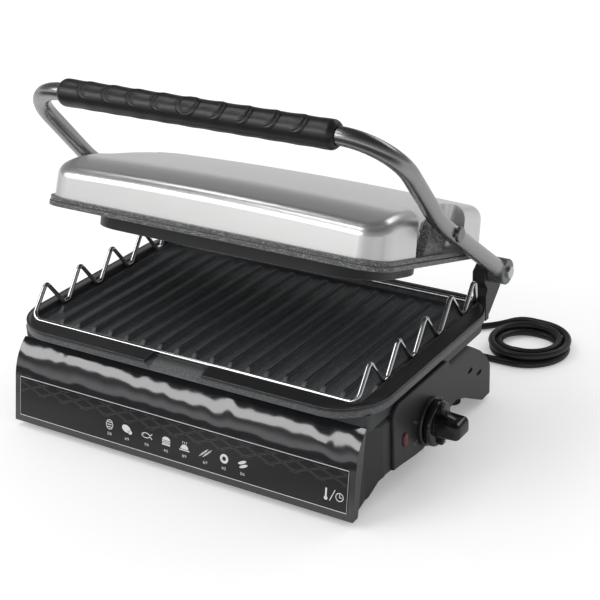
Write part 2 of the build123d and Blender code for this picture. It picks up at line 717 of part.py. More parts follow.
def hinge_bracket():
    """The right hinge bracket: a foot on the frame's rear wall and a plate that carries the pin."""
    inner = BRACKET_OUTER - BRACKET_THICKNESS
    plate_section = side_section(
        [
            (FRAME_REAR, BASE_TOP + 2),
            (FRAME_REAR + 8, BASE_TOP + 6),
            (BRACKET_REAR, 99),
            (BRACKET_REAR, 117),
            (HINGE_Y + 6, HINGE_Z + 7),
            (HINGE_Y - 6, HINGE_Z + 7),
            (HINGE_Y - 15, HINGE_Z + 1),
            (HINGE_Y - 15, HINGE_Z - 8),
            (HINGE_Y - 9, HINGE_Z - 16),
            (FRAME_REAR, 99),
        ]
    )
    plate_section = fillet(plate_section.vertices().group_by(Axis.Y)[-1], 5)
    plate = Pos(inner, 0, 0) * extrude(plate_section, BRACKET_THICKNESS)
    head = along_x(BRACKET_HEAD, inner, BRACKET_OUTER, HINGE_Y, HINGE_Z)
    foot = Pos(BRACKET_FOOT_INNER, FRAME_REAR, BASE_TOP + 1) * Box(
        BRACKET_OUTER - BRACKET_FOOT_INNER,
        BRACKET_FOOT_THICKNESS,
        FLANGE_BOTTOM - BASE_TOP - 1.5,
        align=(Align.MIN, Align.MIN, Align.MIN),
    )
    bracket = fuse_all(plate, [head, foot])
    for x, z in bracket_screw_places():
        bracket -= along_y(2.5, FRAME_REAR - 1, FRAME_REAR + BRACKET_FOOT_THICKNESS + 1, x, z)
    return bracket - along_x(PIN_RADIUS, inner - 1, BRACKET_OUTER + 1, HINGE_Y, HINGE_Z)


def bracket_screws():
    """The four screws of the two bracket feet."""
    screws = []
    back = FRAME_REAR + BRACKET_FOOT_THICKNESS
    for x, z in bracket_screw_places():
        head = along_y(4.5, back, back + 2.5, x, z)
        screw = fillet(head.edges().group_by(Axis.Y)[-1], 0.8) + along_y(2.5, FRAME_REAR, back, x, z)
        screws += [screw, mirror(screw, Plane.YZ)]
    return Compound(children=screws)


def hinge_pins():
    """The two shouldered bolts that the handle swings on."""
    shaft = along_x(PIN_RADIUS, BRACKET_OUTER - BRACKET_THICKNESS, HINGE_CAP_OUTER, HINGE_Y, HINGE_Z)
    head = along_x(PIN_HEAD_RADIUS, HINGE_CAP_OUTER, PIN_END, HINGE_Y, HINGE_Z)
    head = fillet(head.edges().group_by(Axis.X)[-1], 1.0)
    return mirrored_pair(shaft + head)


def arm_frame(distance):
    """A plane across the right arm's lower leg, at a distance from the hinge."""
    run = hypot(ELBOW_Y - HINGE_Y, ELBOW_Z - HINGE_Z)
    direction = Vector(0, (ELBOW_Y - HINGE_Y) / run, (ELBOW_Z - HINGE_Z) / run)
    return Plane(Vector(ARM_PLANE, HINGE_Y, HINGE_Z) + direction * distance, z_dir=direction)


def hinge_cap():
    """The right arm's moulded end: an eye on the pin, a neck, and a spigot inside the tube."""
    eye = along_x(HINGE_CAP_RADIUS, HINGE_CAP_INNER, HINGE_CAP_OUTER, HINGE_Y, HINGE_Z)
    eye = fillet(eye.edges().group_by(Axis.X)[-1], 1.5)
    neck = extrude(arm_frame(0) * Circle(TUBE_RADIUS), HINGE_NECK_LENGTH)
    spigot_radius = TUBE_RADIUS - TUBE_WALL
    spigot = extrude(arm_frame(HINGE_NECK_LENGTH) * Circle(spigot_radius), HINGE_SPIGOT_LENGTH)
    cap = fuse_all(eye, [neck, spigot])
    bore = along_x(PIN_RADIUS + RUNNING_FIT, HINGE_CAP_INNER - 1, HINGE_CAP_OUTER + 1, HINGE_Y, HINGE_Z)
    return cap - bore


def handle_tube():
    """The bent steel tube: up both sides from the hinge and across the front."""
    start = arm_frame(HINGE_NECK_LENGTH).origin
    right = [(ARM_PLANE, start.Y, start.Z), (ARM_PLANE, ELBOW_Y, ELBOW_Z), (ARM_PLANE, GRIP_Y, GRIP_Z)]
    left = [(-x, y, z) for x, y, z in reversed(right)]
    route = FilletPolyline(*right, *left, radius=(ELBOW_RADIUS, HANDLE_CORNER, HANDLE_CORNER, ELBOW_RADIUS))
    outer = tube(route, TUBE_RADIUS)
    bent = outer - tube(route, TUBE_RADIUS - TUBE_WALL)
    bolt_hole = along_x(PIN_RADIUS, ARM_PLANE - 10, ARM_PLANE + 10, PIVOT_Y, PIVOT_Z)
    return bent - bolt_hole - mirror(bolt_hole, Plane.YZ)


def handle_grip():
    """The black sleeve on the tube's front run."""
    sleeve = along_x(GRIP_RADIUS, -GRIP_HALF_LENGTH, GRIP_HALF_LENGTH, GRIP_Y, GRIP_Z)
    sleeve = fillet(sleeve.edges().filter_by(GeomType.CIRCLE), 3)
    return sleeve - along_x(TUBE_RADIUS, -GRIP_HALF_LENGTH - 1, GRIP_HALF_LENGTH + 1, GRIP_Y, GRIP_Z)


def lid_pivot_bolts():
    """The bolts through the arms and the lid's lugs."""
    inner_end = LUG_INNER - SEAT_GAP - PIVOT_NUT_THICKNESS
    outer_end = ARM_PLANE + TUBE_RADIUS
    shaft = along_x(PIN_RADIUS, inner_end, outer_end, PIVOT_Y, PIVOT_Z)
    head = along_x(PIN_HEAD_RADIUS + 1, outer_end, outer_end + PIN_HEAD_THICKNESS, PIVOT_Y, PIVOT_Z)
    head = fillet(head.edges().group_by(Axis.X)[-1], 1.0)
    return mirrored_pair(shaft + head)


def lid_pivot_spacers():
    """The spacers between the arms and the lugs."""
    inner_end = LUG_OUTER + SEAT_GAP
    outer_end = ARM_PLANE - TUBE_RADIUS
    spacer = along_x(PIN_RADIUS * 2, inner_end, outer_end, PIVOT_Y, PIVOT_Z)
    return mirrored_pair(spacer - along_x(PIN_RADIUS, inner_end, outer_end, PIVOT_Y, PIVOT_Z))


def lid_pivot_nuts():
    """The hexagon nuts inside the lid's side pockets."""
    outer_end = LUG_INNER - SEAT_GAP
    nut = Pos(outer_end - PIVOT_NUT_THICKNESS, PIVOT_Y, PIVOT_Z) * extrude(
        Plane.YZ * (RegularPolygon(PIVOT_NUT_RADIUS, 6) - Circle(PIN_RADIUS)), PIVOT_NUT_THICKNESS
    )
    return mirrored_pair(nut)


def lid_place(shape):
    """Tilt a piece drawn in the lid's own frame and hang it on the arms' pivot."""
    return Pos(0, PIVOT_Y, PIVOT_Z) * Rot(-LID_TILT, 0, 0) * Pos(0, -PIVOT_S, -PIVOT_N) * shape


def lid_slab(bottom, top, inset):
    """One step of the lid's flange."""
    plan = rounded_plan(
        LID_FLANGE_HALF_WIDTH - inset, inset, LID_DEPTH - inset,
        LID_FLANGE_CORNER - inset, LID_FLANGE_CORNER - inset,
    )
    return extrude(Pos(0, 0, bottom) * plan, top - bottom)


def lid_body_slab(bottom, top, inset):
    """A slice of the lid plate's cooking body."""
    plan = rounded_plan(
        LID_BODY_HALF_WIDTH - inset,
        LID_BODY_FRONT + inset,
        LID_BODY_REAR - inset,
        LID_BODY_FRONT_CORNER - inset,
        LID_BODY_REAR_CORNER - inset,
    )
    return extrude(Pos(0, 0, bottom) * plan, top - bottom)


def upper_plate():
    """The ribbed lid plate: stepped flange, cooking body, heater bay and two pivot lugs."""
    step = LID_FLANGE_THICKNESS / 2
    lower_step = lid_slab(0, step - 0.3, 0)
    neck = lid_slab(step - 0.3, step + 0.3, 1.8)
    upper_step = lid_slab(step + 0.3, LID_FLANGE_THICKNESS, 0.8)
    body = lid_body_slab(-LID_BODY_DEPTH, 0, 0)
    rim_bottom = -LID_BODY_DEPTH
    grill_root = rim_bottom + LID_RIB_HEIGHT
    plate = fuse_all(lower_step, [neck, upper_step, body])
    plate -= lid_body_slab(rim_bottom, grill_root, LID_RIM_WIDTH)
    plate -= lid_body_slab(grill_root + 5, LID_FLANGE_THICKNESS + 1, LID_BODY_WALL)
    ribs = []
    for index in range(LID_RIB_COUNT):
        offset = index - (LID_RIB_COUNT - 1) / 2
        outermost = index in (0, LID_RIB_COUNT - 1)
        setback = LID_BODY_WALL + (OUTER_RIB_SETBACK if outermost else 0.0)
        ribs.append(
            trapezoid_rib(
                offset * RIB_PITCH, LID_BODY_FRONT + setback, LID_BODY_REAR - setback, grill_root, -LID_RIB_HEIGHT
            )
        )
    lug_section = side_section(
        [
            (PIVOT_S - LUG_HALF_BASE, step + 1),
            (PIVOT_S + LUG_HALF_BASE, step + 1),
            (PIVOT_S + LUG_HEAD_RADIUS - 1, PIVOT_N + 4),
            (PIVOT_S - LUG_HEAD_RADIUS + 1, PIVOT_N + 4),
        ]
    )
    lug = Pos(LUG_INNER, 0, 0) * extrude(lug_section, LUG_OUTER - LUG_INNER)
    lug += along_x(LUG_HEAD_RADIUS, LUG_INNER, LUG_OUTER, PIVOT_S, PIVOT_N)
    plate = fuse_all(plate, ribs + [lug, mirror(lug, Plane.YZ)])
    bore = along_x(PIN_RADIUS + RUNNING_FIT, -BRACKET_OUTER, BRACKET_OUTER, PIVOT_S, PIVOT_N)
    return plate - bore


def crowned_roof(inset):
    """Everything under the lid cover's top, which is crowned from front to back and from side to side."""
    front = LID_COVER_FRONT - 5
    rear = LID_COVER_REAR + 5
    crease = (LID_COVER_CREASE_S, LID_COVER_CREASE_TOP - inset)
    rear_arc = ThreePointArc(
        (rear, LID_COVER_REAR_TOP - inset), (LID_COVER_CROWN_S, LID_COVER_CROWN_TOP - inset), crease
    )
    front_arc = TangentArc(crease, (front, LID_COVER_FRONT_TOP - inset), tangent=rear_arc % 1)
    floor = LID_FLANGE_THICKNESS - 10
    closing = Polyline((front, LID_COVER_FRONT_TOP - inset), (front, floor), (rear, floor), (rear, LID_COVER_REAR_TOP - inset))
    section = Plane.YZ * make_face(rear_arc + front_arc + closing)
    half_angle = 3.0
    axis = Axis((0, 0, -LID_COVER_CROWN_RADIUS), (0, 1, 0))
    return revolve(section.rotate(axis, -half_angle), axis, 2 * half_angle)


def lid_cover_form(inset):
    """The lid cover's form, drawn in from its outer face by an inset."""
    plan = rounded_plan(
        LID_COVER_HALF_WIDTH - inset,
        LID_COVER_FRONT + inset,
        LID_COVER_REAR - inset,
        LID_COVER_FRONT_CORNER - inset,
        LID_COVER_REAR_CORNER - inset,
    )
    form = extrude(Pos(0, 0, LID_FLANGE_THICKNESS) * plan, 2 * LID_COVER_CROWN_TOP, taper=LID_COVER_DRAFT)
    form &= crowned_roof(inset)
    top_faces = form.faces().filter_by(lambda face: face.normal_at().Z > 0.8)
    rim = [
        edge
        for face in top_faces
        for edge in face.edges()
        if abs(edge.center().Y - LID_COVER_CREASE_S) > 1 or edge.length < LID_COVER_HALF_WIDTH
    ]
    form = fillet(rim, LID_COVER_ROUND - inset)
    depth = LID_COVER_HALF_WIDTH - LID_POCKET_FLOOR_X + inset
    pocket = Rectangle(2 * depth, LID_POCKET_REAR - LID_POCKET_FRONT + 2 * inset)
    pocket = fillet(pocket.vertices().group_by(Axis.X)[0], LID_POCKET_ROUND + inset)
    middle = (LID_POCKET_FRONT + LID_POCKET_REAR) / 2
    pocket = extrude(Pos(LID_COVER_HALF_WIDTH, middle, 0) * pocket, 80)
    return form - pocket - mirror(pocket, Plane.YZ)


def lid_cover():
    """The silver lid cover, a drafted shell with a rounded top and a pocket at each arm."""
    return lid_cover_form(0) - lid_cover_form(LID_COVER_SHEET)


def upper_heat_reflector():
    """The bright sheet over the lid plate's heater bay."""
    half_width = LID_POCKET_FLOOR_X - LID_COVER_SHEET - 2
    overlap = LID_BODY_WALL - 4
    plan = rounded_plan(half_width, LID_BODY_FRONT + overlap, LID_BODY_REAR - overlap, 30, 30)
    return extrude(Pos(0, 0, LID_FLANGE_THICKNESS) * plan, 1)


def wire_rack():
    """The bent wire rack: two zigzag sides joined by a front and a rear cross wire."""
    points = [(0, RACK_FRONT, RACK_LOW), (RACK_HALF_WIDTH, RACK_FRONT, RACK_LOW)]
    radii = [RACK_CORNER]
    for index in range(RACK_PEAK_COUNT):
        peak = index * RACK_PITCH
        points.append((RACK_HALF_WIDTH, peak, RACK_PEAK))
        radii.append(RACK_BEND)
        if index < RACK_PEAK_COUNT - 1:
            valley = peak + RACK_PITCH / 2
            for y in (valley - RACK_VALLEY_FLAT / 2, valley + RACK_VALLEY_FLAT / 2):
                points.append((RACK_HALF_WIDTH, y, RACK_LOW))
                radii.append(RACK_BEND)
    points += [(RACK_HALF_WIDTH, RACK_REAR, RACK_LOW), (0, RACK_REAR, RACK_LOW)]
    radii.append(RACK_CORNER)
    half = tube(FilletPolyline(*points, radius=radii), WIRE_RADIUS)
    return half + mirror(half, Plane.YZ)


def strain_relief():
    """The tapered sleeve where the cord leaves the base."""
    root = along_y(RELIEF_ROOT_RADIUS, RELIEF_START, RELIEF_SHOULDER, CORD_EXIT_X, CORD_EXIT_Z)
    taper = Pos(CORD_EXIT_X, RELIEF_SHOULDER, CORD_EXIT_Z) * Rot(-90, 0, 0) * Cone(
        RELIEF_ROOT_RADIUS,
        RELIEF_TIP_RADIUS,
        RELIEF_END - RELIEF_SHOULDER,
        align=(Align.CENTER, Align.CENTER, Align.MIN),
    )
    return root + taper


def coil_start():
    """Where the loose cord runs into the coil."""
    return (COIL_X - 2 * CORD_RADIUS, COIL_Y - COIL_OUTER_RADIUS, CORD_RADIUS)


def coil_end():
    """Where the cord leaves the coil for the plug."""
    return (COIL_X - 2 * CORD_RADIUS, COIL_Y + COIL_OUTER_RADIUS, CORD_RADIUS + COIL_PITCH)


CORD_ROUTE = [
    (CORD_EXIT_X, RELIEF_END, CORD_EXIT_Z),
    (CORD_EXIT_X, 236, CORD_EXIT_Z),
    (66, 252, 25),
    (80, 262, 13),
    (101, 263.5, 4.5),
    (127, COIL_Y - COIL_OUTER_RADIUS, CORD_RADIUS),
]
PLUG_ROUTE = [
    (142, COIL_Y + COIL_OUTER_RADIUS, CORD_RADIUS + COIL_PITCH),
    (125, 331, 4.4),
    (109, 319, 3.3),
    (94, 304, 4.6),
    (79, 293, 12),
    (62, PLUG_Y, PLUG_RADIUS),
    (PLUG_X, PLUG_Y, PLUG_RADIUS),
]


def lead(points):
    """A free stretch of cord: straight runs joined by arcs as large as the runs allow."""
    corners = [Vector(*point) for point in points]
    radii = []
    for before, corner, after in zip(corners, corners[1:], corners[2:]):
        turn = radians((corner - before).get_angle(after - corner))
        shorter = min((corner - before).length, (after - corner).length)
        radii.append(0.45 * shorter / tan(turn / 2))
    print("cord radii", [round(radius, 1) for radius in radii])
    return tube(FilletPolyline(*points, radius=radii), CORD_RADIUS)


def biarc(start, start_direction, end, end_direction):
    """Two tangent arcs from one point and direction to another."""
    chord = end - start
    both = start_direction + end_direction
    quadratic = both.dot(both) - 4
    linear = -2 * chord.dot(both)
    constant = chord.dot(chord)
    reach = (-linear - (linear**2 - 4 * quadratic * constant) ** 0.5) / (2 * quadratic)
    junction = (start + start_direction * reach + end - end_direction * reach) * 0.5
    middle_direction = (end - end_direction * reach) - (start + start_direction * reach)
    return [
        Edge.make_tangent_arc(start, start_direction, junction),
        Edge.make_tangent_arc(junction, middle_direction.normalized(), end),
    ]


def coil_path():
    """The coiled cord: a layer that spirals in on the worktop, a climb, and a layer that spirals out."""
    stations = []
    for index in range(COIL_HALF_TURNS + 1):
        stations.append((COIL_OUTER_RADIUS - index * COIL_PITCH / 2, CORD_RADIUS))
    stations.append((COIL_INNER_RADIUS - COIL_CLIMB_STEP, CORD_RADIUS + COIL_PITCH))
    for index in range(1, COIL_HALF_TURNS + 1):
        stations.append((COIL_INNER_RADIUS + index * COIL_PITCH / 2, CORD_RADIUS + COIL_PITCH))
    points = []
    directions = []
    for index, (radius, height) in enumerate(stations):
        side = -1 if index % 2 == 0 else 1
        points.append(Vector(COIL_X, COIL_Y + side * radius, height))
        directions.append(Vector(-side, 0, 0))
    edges = [Edge.make_line(Vector(*coil_start()), points[0])]
    for index in range(len(points) - 1):
        edges += biarc(points[index], directions[index], points[index + 1], directions[index + 1])
    edges.append(Edge.make_line(points[-1], Vector(*coil_end())))
    return Wire(edges)


def least_gap(path):
    """The least distance between the cord's surface and itself, measured on points along the coil."""
    count = int(path.length / 2.5)
    samples = [path.position_at(index / count) for index in range(count + 1)]
    spacing = path.length / count
    away = int(COIL_PITCH * 3 / spacing)
    least = min(
        (samples[first] - samples[second]).length
        for first in range(len(samples))
        for second in range(first + away, len(samples))
    )
    return least - 2 * CORD_RADIUS


def cord_coil():
    """The coil as one unbroken tube."""
    path = coil_path()
    print("coil length", round(path.length, 1), "least gap", round(least_gap(path), 2))
    return tube(path, CORD_RADIUS)


def plug():
    """The round earthed mains plug, lying on the worktop."""
    axis_place = Pos(PLUG_X, PLUG_Y, PLUG_RADIUS) * Rot(0, -90, 0)
    tail = Cone(CORD_RADIUS + 1.2, 10, PLUG_TAIL, align=(Align.CENTER, Align.CENTER, Align.MIN))
    body = Pos(0, 0, PLUG_TAIL) * extrude(Circle(PLUG_RADIUS), PLUG_LENGTH)
    body = fillet(body.edges().group_by(Axis.Z)[0], 5)
    form = tail + body
    face = PLUG_TAIL + PLUG_LENGTH
    for side in RIGHT_AND_LEFT:
        form -= Pos(0, side * PLUG_RADIUS, face - 12) * Box(9, 5, 30)
    for side in RIGHT_AND_LEFT:
        pin = Pos(side * PLUG_PIN_SPACING / 2, 0, face) * extrude(Circle(PLUG_PIN_RADIUS), PLUG_PIN_LENGTH)
        form += fillet(pin.edges().group_by(Axis.Z)[-1], 1.2)
    return axis_place * form


def print_anchors():
    """The joints and mounts in the shared frame, for the record."""
    anchors = {
        "hinge": (0, HINGE_Y, HINGE_Z),
        "lid_pivot": (0, PIVOT_Y, PIVOT_Z),
        "knob": (KNOB_FACE, KNOB_Y, KNOB_Z),
        "feet": (0, (FOOT_FRONT + FOOT_REAR) / 2, 0),
        "cord_exit": (CORD_EXIT_X, RELIEF_END, CORD_EXIT_Z),
    }
    for name, (x, y, z) in anchors.items():
        print(name, round(x - X_MIDDLE, 3), round(y - Y_MIDDLE, 3), round(z, 3))


def build():
    """Write every sub-part."""
    os.makedirs("parts", exist_ok=True)
    block = base_block()
    keep("base_housing", base_housing(block))
    keep("bottom_cover", bottom_cover())
    keep("hatch_screws", hatch_screws())
    keep("rubber_feet", rubber_feet())
    keep("front_cover", front_cover())
    keep("front_label", front_label())
    keep("control_cover", control_cover(block))
    keep("lamp_lens", lamp_lens())
    keep("knob_bezel", knob_bezel())
    keep("thermostat", thermostat())
    keep("terminal_block", terminal_block())
    keep("plate_frame", plate_frame())
    keep("lower_plate", lower_plate())
    keep("lower_heater", heater_loop(40, 130, HEATER_BAY_ROOF - HEATER_RADIUS))
    keep("lower_heat_reflector", lower_heat_reflector())
    for side, label in ((1, "right"), (-1, "left")):
        keep(f"hinge_bracket_{label}", on_side(hinge_bracket(), side))
        keep(f"hinge_cap_{label}", on_side(hinge_cap(), side))
    keep("bracket_screws", bracket_screws())
    keep("hinge_pins", hinge_pins())
    keep("handle_tube", handle_tube())
    keep("handle_grip", handle_grip())
    keep("lid_pivot_bolts", lid_pivot_bolts())
    keep("lid_pivot_spacers", lid_pivot_spacers())
    keep("lid_pivot_nuts", lid_pivot_nuts())
    keep("upper_plate", lid_place(upper_plate()))
    keep("lid_cover", lid_place(lid_cover()))
    bay_floor = LID_RIB_HEIGHT - LID_BODY_DEPTH + 5
    keep("upper_heater", lid_place(heater_loop(LID_BODY_FRONT + 31, LID_BODY_REAR - 31, bay_floor + HEATER_RADIUS)))
    keep("upper_heat_reflector", lid_place(upper_heat_reflector()))
    keep("knob", knob())
    keep("thermostat_shaft", thermostat_shaft())
    keep("wire_rack", wire_rack())
    keep("strain_relief", strain_relief())
    keep("mains_cord", lead(CORD_ROUTE + [coil_start()]))
    keep("cord_coil", cord_coil())
    keep("plug_lead", lead([coil_end()] + PLUG_ROUTE))
    keep("plug", plug())
    print_anchors()


build()
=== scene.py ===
# %% [markdown]
# # A countertop contact grill
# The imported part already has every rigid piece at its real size. This notebook dresses it: it gives each
# piece its finish, models the soft and moulded pieces that a plain solid can't show, and sets up the light
# and the camera of the photograph. Everything is in metres, in the part's own frame.

# %% Load the frame
import math

import bmesh
import bpy
from mathutils import Matrix, Vector


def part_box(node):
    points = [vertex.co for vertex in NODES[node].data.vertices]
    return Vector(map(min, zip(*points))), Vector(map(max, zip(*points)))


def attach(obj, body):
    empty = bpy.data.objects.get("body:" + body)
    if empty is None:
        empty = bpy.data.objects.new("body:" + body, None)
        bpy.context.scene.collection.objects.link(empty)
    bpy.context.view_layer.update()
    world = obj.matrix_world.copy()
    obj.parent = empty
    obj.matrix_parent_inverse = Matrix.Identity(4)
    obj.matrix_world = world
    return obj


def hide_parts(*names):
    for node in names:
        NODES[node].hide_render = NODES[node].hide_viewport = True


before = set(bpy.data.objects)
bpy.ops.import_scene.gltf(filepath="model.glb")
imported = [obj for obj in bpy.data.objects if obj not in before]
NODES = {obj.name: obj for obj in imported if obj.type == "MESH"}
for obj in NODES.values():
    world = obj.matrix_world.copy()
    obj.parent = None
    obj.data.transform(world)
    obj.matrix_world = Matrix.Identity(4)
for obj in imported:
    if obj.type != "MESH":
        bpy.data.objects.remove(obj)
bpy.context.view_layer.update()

MM = 0.001


def new_object(name, data):
    """An object at the origin, linked to the scene."""
    made = bpy.data.objects.new(name, data)
    bpy.context.scene.collection.objects.link(made)
    return made


# %% [markdown]
# ## The camera
# The photograph looks down on the front right corner. Its angles and distance were worked out from the
# grill's parallel edges, so a plain perspective camera with no shift gives the same picture. The turn
# comes first, then the pitch, then a slight roll, each as a rotation matrix of its own.

# %% Camera
CAMERA_PLACE = Vector((659.3, -962.75, 642.2)) * MM
TURN = math.radians(33.05)
PITCH_DOWN = math.radians(24.72)
ROLL = math.radians(-2.40)

camera = new_object("camera", bpy.data.cameras.new("camera"))
camera.data.sensor_width = 36.0
camera.data.lens = 87.7
camera.matrix_world = (
    Matrix.Translation(CAMERA_PLACE)
    @ Matrix.Rotation(TURN, 4, "Z")
    @ Matrix.Rotation(math.pi / 2 - PITCH_DOWN, 4, "X")
    @ Matrix.Rotation(ROLL, 4, "Z")
)
bpy.context.scene.camera = camera
bpy.context.scene.view_settings.view_transform = "Standard"

# %% [markdown]
# ## Small helpers for materials
# Every finish starts from the Principled shader. One helper makes the material and writes the plain
# values on the shader's own sockets, one adds a node with its settings, and one joins two sockets. All
# patterns are laid on a piece's own coordinates, so they stay with it when it moves. With these helpers,
# each finish below reads as a short list of what it is made of.


# %% Material helpers
def new_material(name, colour, roughness, metallic=0.0, **extra):
    """A material, its node tree and its shader, with plain values; extra names more sockets."""
    material = bpy.data.materials.new(name)
    material.use_nodes = True
    tree = material.node_tree
    shader = tree.nodes["Principled BSDF"]
    shader.inputs["Base Color"].default_value = (*colour, 1.0)
    shader.inputs["Roughness"].default_value = roughness
    shader.inputs["Metallic"].default_value = metallic
    for socket, value in extra.items():
        shader.inputs[socket.replace("_", " ")].default_value = value
    return material, tree, shader


def add_node(tree, kind, settings=None, **values):
    """A new node; settings are its own choices, values its input sockets by name."""
    node = tree.nodes.new(kind)
    for name, value in (settings or {}).items():
        setattr(node, name, value)
    for name, value in values.items():
        node.inputs[name.replace("_", " ")].default_value = value
    return node


def join(tree, source, target):
    """Link an output socket to an input socket."""
    tree.links.new(source, target)


def own_place(tree):
    """Where a point lies in its object's own coordinates."""
    return add_node(tree, "ShaderNodeTexCoord").outputs["Object"]


def split_axes(tree, place):
    """The X, Y and Z of a place, as named sockets."""
    axes = add_node(tree, "ShaderNodeSeparateXYZ")
    join(tree, place, axes.inputs[0])
    return axes.outputs


def mix_colour(tree, factor, first, second):
    """The colour between two others, each a plain colour or a socket; the factor is a socket."""
    mix = add_node(tree, "ShaderNodeMix", {"data_type": "RGBA"})
    join(tree, factor, mix.inputs["Factor"])
    for index, value in ((6, first), (7, second)):
        if isinstance(value, tuple):
            mix.inputs[index].default_value = (*value, 1.0)
        else:
            join(tree, value, mix.inputs[index])
    return mix.outputs[2]


def math_node(tree, operation, first, second=None, third=None):
    """One arithmetic step on values or sockets, giving its output socket."""
    node = add_node(tree, "ShaderNodeMath", {"operation": operation})
    for index, value in enumerate((first, second, third)):
        if value is None:
            continue
        if isinstance(value, (int, float)):
            node.inputs[index].default_value = value
        else:
            join(tree, value, node.inputs[index])
    return node.outputs[0]


def new_group(name, inputs, outputs):
    """An empty shader node group with named sockets, and its input and output nodes."""
    group = bpy.data.node_groups.new(name, "ShaderNodeTree")
    for label, kind, value in inputs:
        socket = group.interface.new_socket(label, in_out="INPUT", socket_type=kind)
        socket.default_value = value
    for label, kind in outputs:
        group.interface.new_socket(label, in_out="OUTPUT", socket_type=kind)
    return group, group.nodes.new("NodeGroupInput"), group.nodes.new("NodeGroupOutput")


def use_group(tree, group, **values):
    """Place a group in a material with its own values."""
    return add_node(tree, "ShaderNodeGroup", {"node_tree": group}, **values)


FLOAT = "NodeSocketFloat"
VECTOR = "NodeSocketVector"

# %% [markdown]
# ## Effects that several finishes share
# A real edge is never perfectly sharp: it catches the light and it is where a coating wears first. The
# Bevel node finds edges by looking at the surface around a point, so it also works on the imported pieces,
# whose meshes are loose triangles. The group gives a softened normal, and a mask that rises on an edge, in
# patches.


# %% Edge group
PATCH_SCALE = 140.0
PATCH_STRENGTH = 8.0


def edge_group():
    """Softened normals and an edge mask."""
    group, given, result = new_group(
        "soft edges",
        [("Radius", FLOAT, 0.6 * MM), ("Wear", FLOAT, 0.3)],
        [("Normal", VECTOR), ("Edge", FLOAT)],
    )
    bevel = add_node(group, "ShaderNodeBevel", {"samples": 4})
    join(group, given.outputs["Radius"], bevel.inputs["Radius"])
    flat = add_node(group, "ShaderNodeNewGeometry")
    likeness = add_node(group, "ShaderNodeVectorMath", {"operation": "DOT_PRODUCT"})
    join(group, bevel.outputs[0], likeness.inputs[0])
    join(group, flat.outputs["Normal"], likeness.inputs[1])
    bend = math_node(group, "SUBTRACT", 1.0, likeness.outputs["Value"])
    place = own_place(group)
    patches = add_node(group, "ShaderNodeTexNoise", Scale=PATCH_SCALE, Detail=3.0)
    join(group, place, patches.inputs["Vector"])
    strength = math_node(group, "MULTIPLY", patches.outputs["Fac"], PATCH_STRENGTH)
    uneven = math_node(group, "MULTIPLY", bend, strength)
    mask = math_node(group, "MULTIPLY", uneven, given.outputs["Wear"])
    join(group, math_node(group, "MINIMUM", mask, 1.0), result.inputs["Edge"])
    join(group, bevel.outputs[0], result.inputs["Normal"])
    return group


# %% [markdown]
# Moulded plastic and rubber have a fine grain. Two noises, one fine and one some 17 times coarser, give
# its height and a slow drift in how shiny it is, like the places that hands touch more often.


# %% Grain group
DRIFT_SHARE = 0.06


def grain_group():
    """A fine height and a slow change of roughness."""
    group, given, result = new_group(
        "moulded grain",
        [("Scale", FLOAT, 900.0), ("Roughness", FLOAT, 0.4), ("Drift", FLOAT, 0.08)],
        [("Height", FLOAT), ("Roughness", FLOAT)],
    )
    place = own_place(group)
    fine = add_node(group, "ShaderNodeTexNoise", Detail=2.0)
    slow = add_node(group, "ShaderNodeTexNoise", Detail=3.0)
    for noise in (fine, slow):
        join(group, place, noise.inputs["Vector"])
    join(group, given.outputs["Scale"], fine.inputs["Scale"])
    coarse = math_node(group, "MULTIPLY", given.outputs["Scale"], DRIFT_SHARE)
    join(group, coarse, slow.inputs["Scale"])
    centred = math_node(group, "SUBTRACT", slow.outputs["Fac"], 0.5)
    drift = math_node(group, "MULTIPLY", centred, given.outputs["Drift"])
    join(group, math_node(group, "ADD", given.outputs["Roughness"], drift), result.inputs["Roughness"])
    join(group, fine.outputs["Fac"], result.inputs["Height"])
    return group


# %% [markdown]
# The plates are aluminium castings with a sprayed non-stick coat. Up close the coat is full of tiny light
# flecks on a hammered ground. A Voronoi pattern gives the flecks, because each of its cells can be small
# and bright on its own, and a noise gives the ground.


# %% Casting group
FLECK_REACH = 0.42


def casting_group():
    """Fleck mask and hammered height of a coated casting."""
    group, given, result = new_group(
        "coated casting",
        [("Scale", FLOAT, 1500.0), ("Flecks", FLOAT, 0.35)],
        [("Fleck", FLOAT), ("Height", FLOAT)],
    )
    place = own_place(group)
    cells = add_node(group, "ShaderNodeTexVoronoi", {"feature": "F1"})
    ground = add_node(group, "ShaderNodeTexNoise", Detail=4.0, Roughness=0.6)
    for texture in (cells, ground):
        join(group, place, texture.inputs["Vector"])
        join(group, given.outputs["Scale"], texture.inputs["Scale"])
    lit = add_node(group, "ShaderNodeSeparateColor")
    join(group, cells.outputs["Color"], lit.inputs[0])
    chosen = math_node(group, "LESS_THAN", lit.outputs[0], given.outputs["Flecks"])
    near = math_node(group, "LESS_THAN", cells.outputs["Distance"], FLECK_REACH)
    join(group, math_node(group, "MULTIPLY", chosen, near), result.inputs["Fleck"])
    join(group, ground.outputs["Fac"], result.inputs["Height"])
    return group


EDGES = edge_group()
GRAIN = grain_group()
CASTING = casting_group()
print("shared effects:", [group.name for group in bpy.data.node_groups])

# %% [markdown]
# ## Putting a finish on a piece
# A bump node turns a height into a normal. It takes the softened edge normal as its base, so both show.
# `dress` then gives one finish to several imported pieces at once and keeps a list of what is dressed.


# %% Bump and dress
def bump(tree, shader, height, distance, strength=1.0, base=None):
    """Feed a height to the shader's normal, over an optional base normal."""
    node = add_node(tree, "ShaderNodeBump", Strength=strength, Distance=distance)
    join(tree, height, node.inputs["Height"])
    if base is not None:
        join(tree, base, node.inputs["Normal"])
    join(tree, node.outputs[0], shader.inputs["Normal"])


dressed = set()


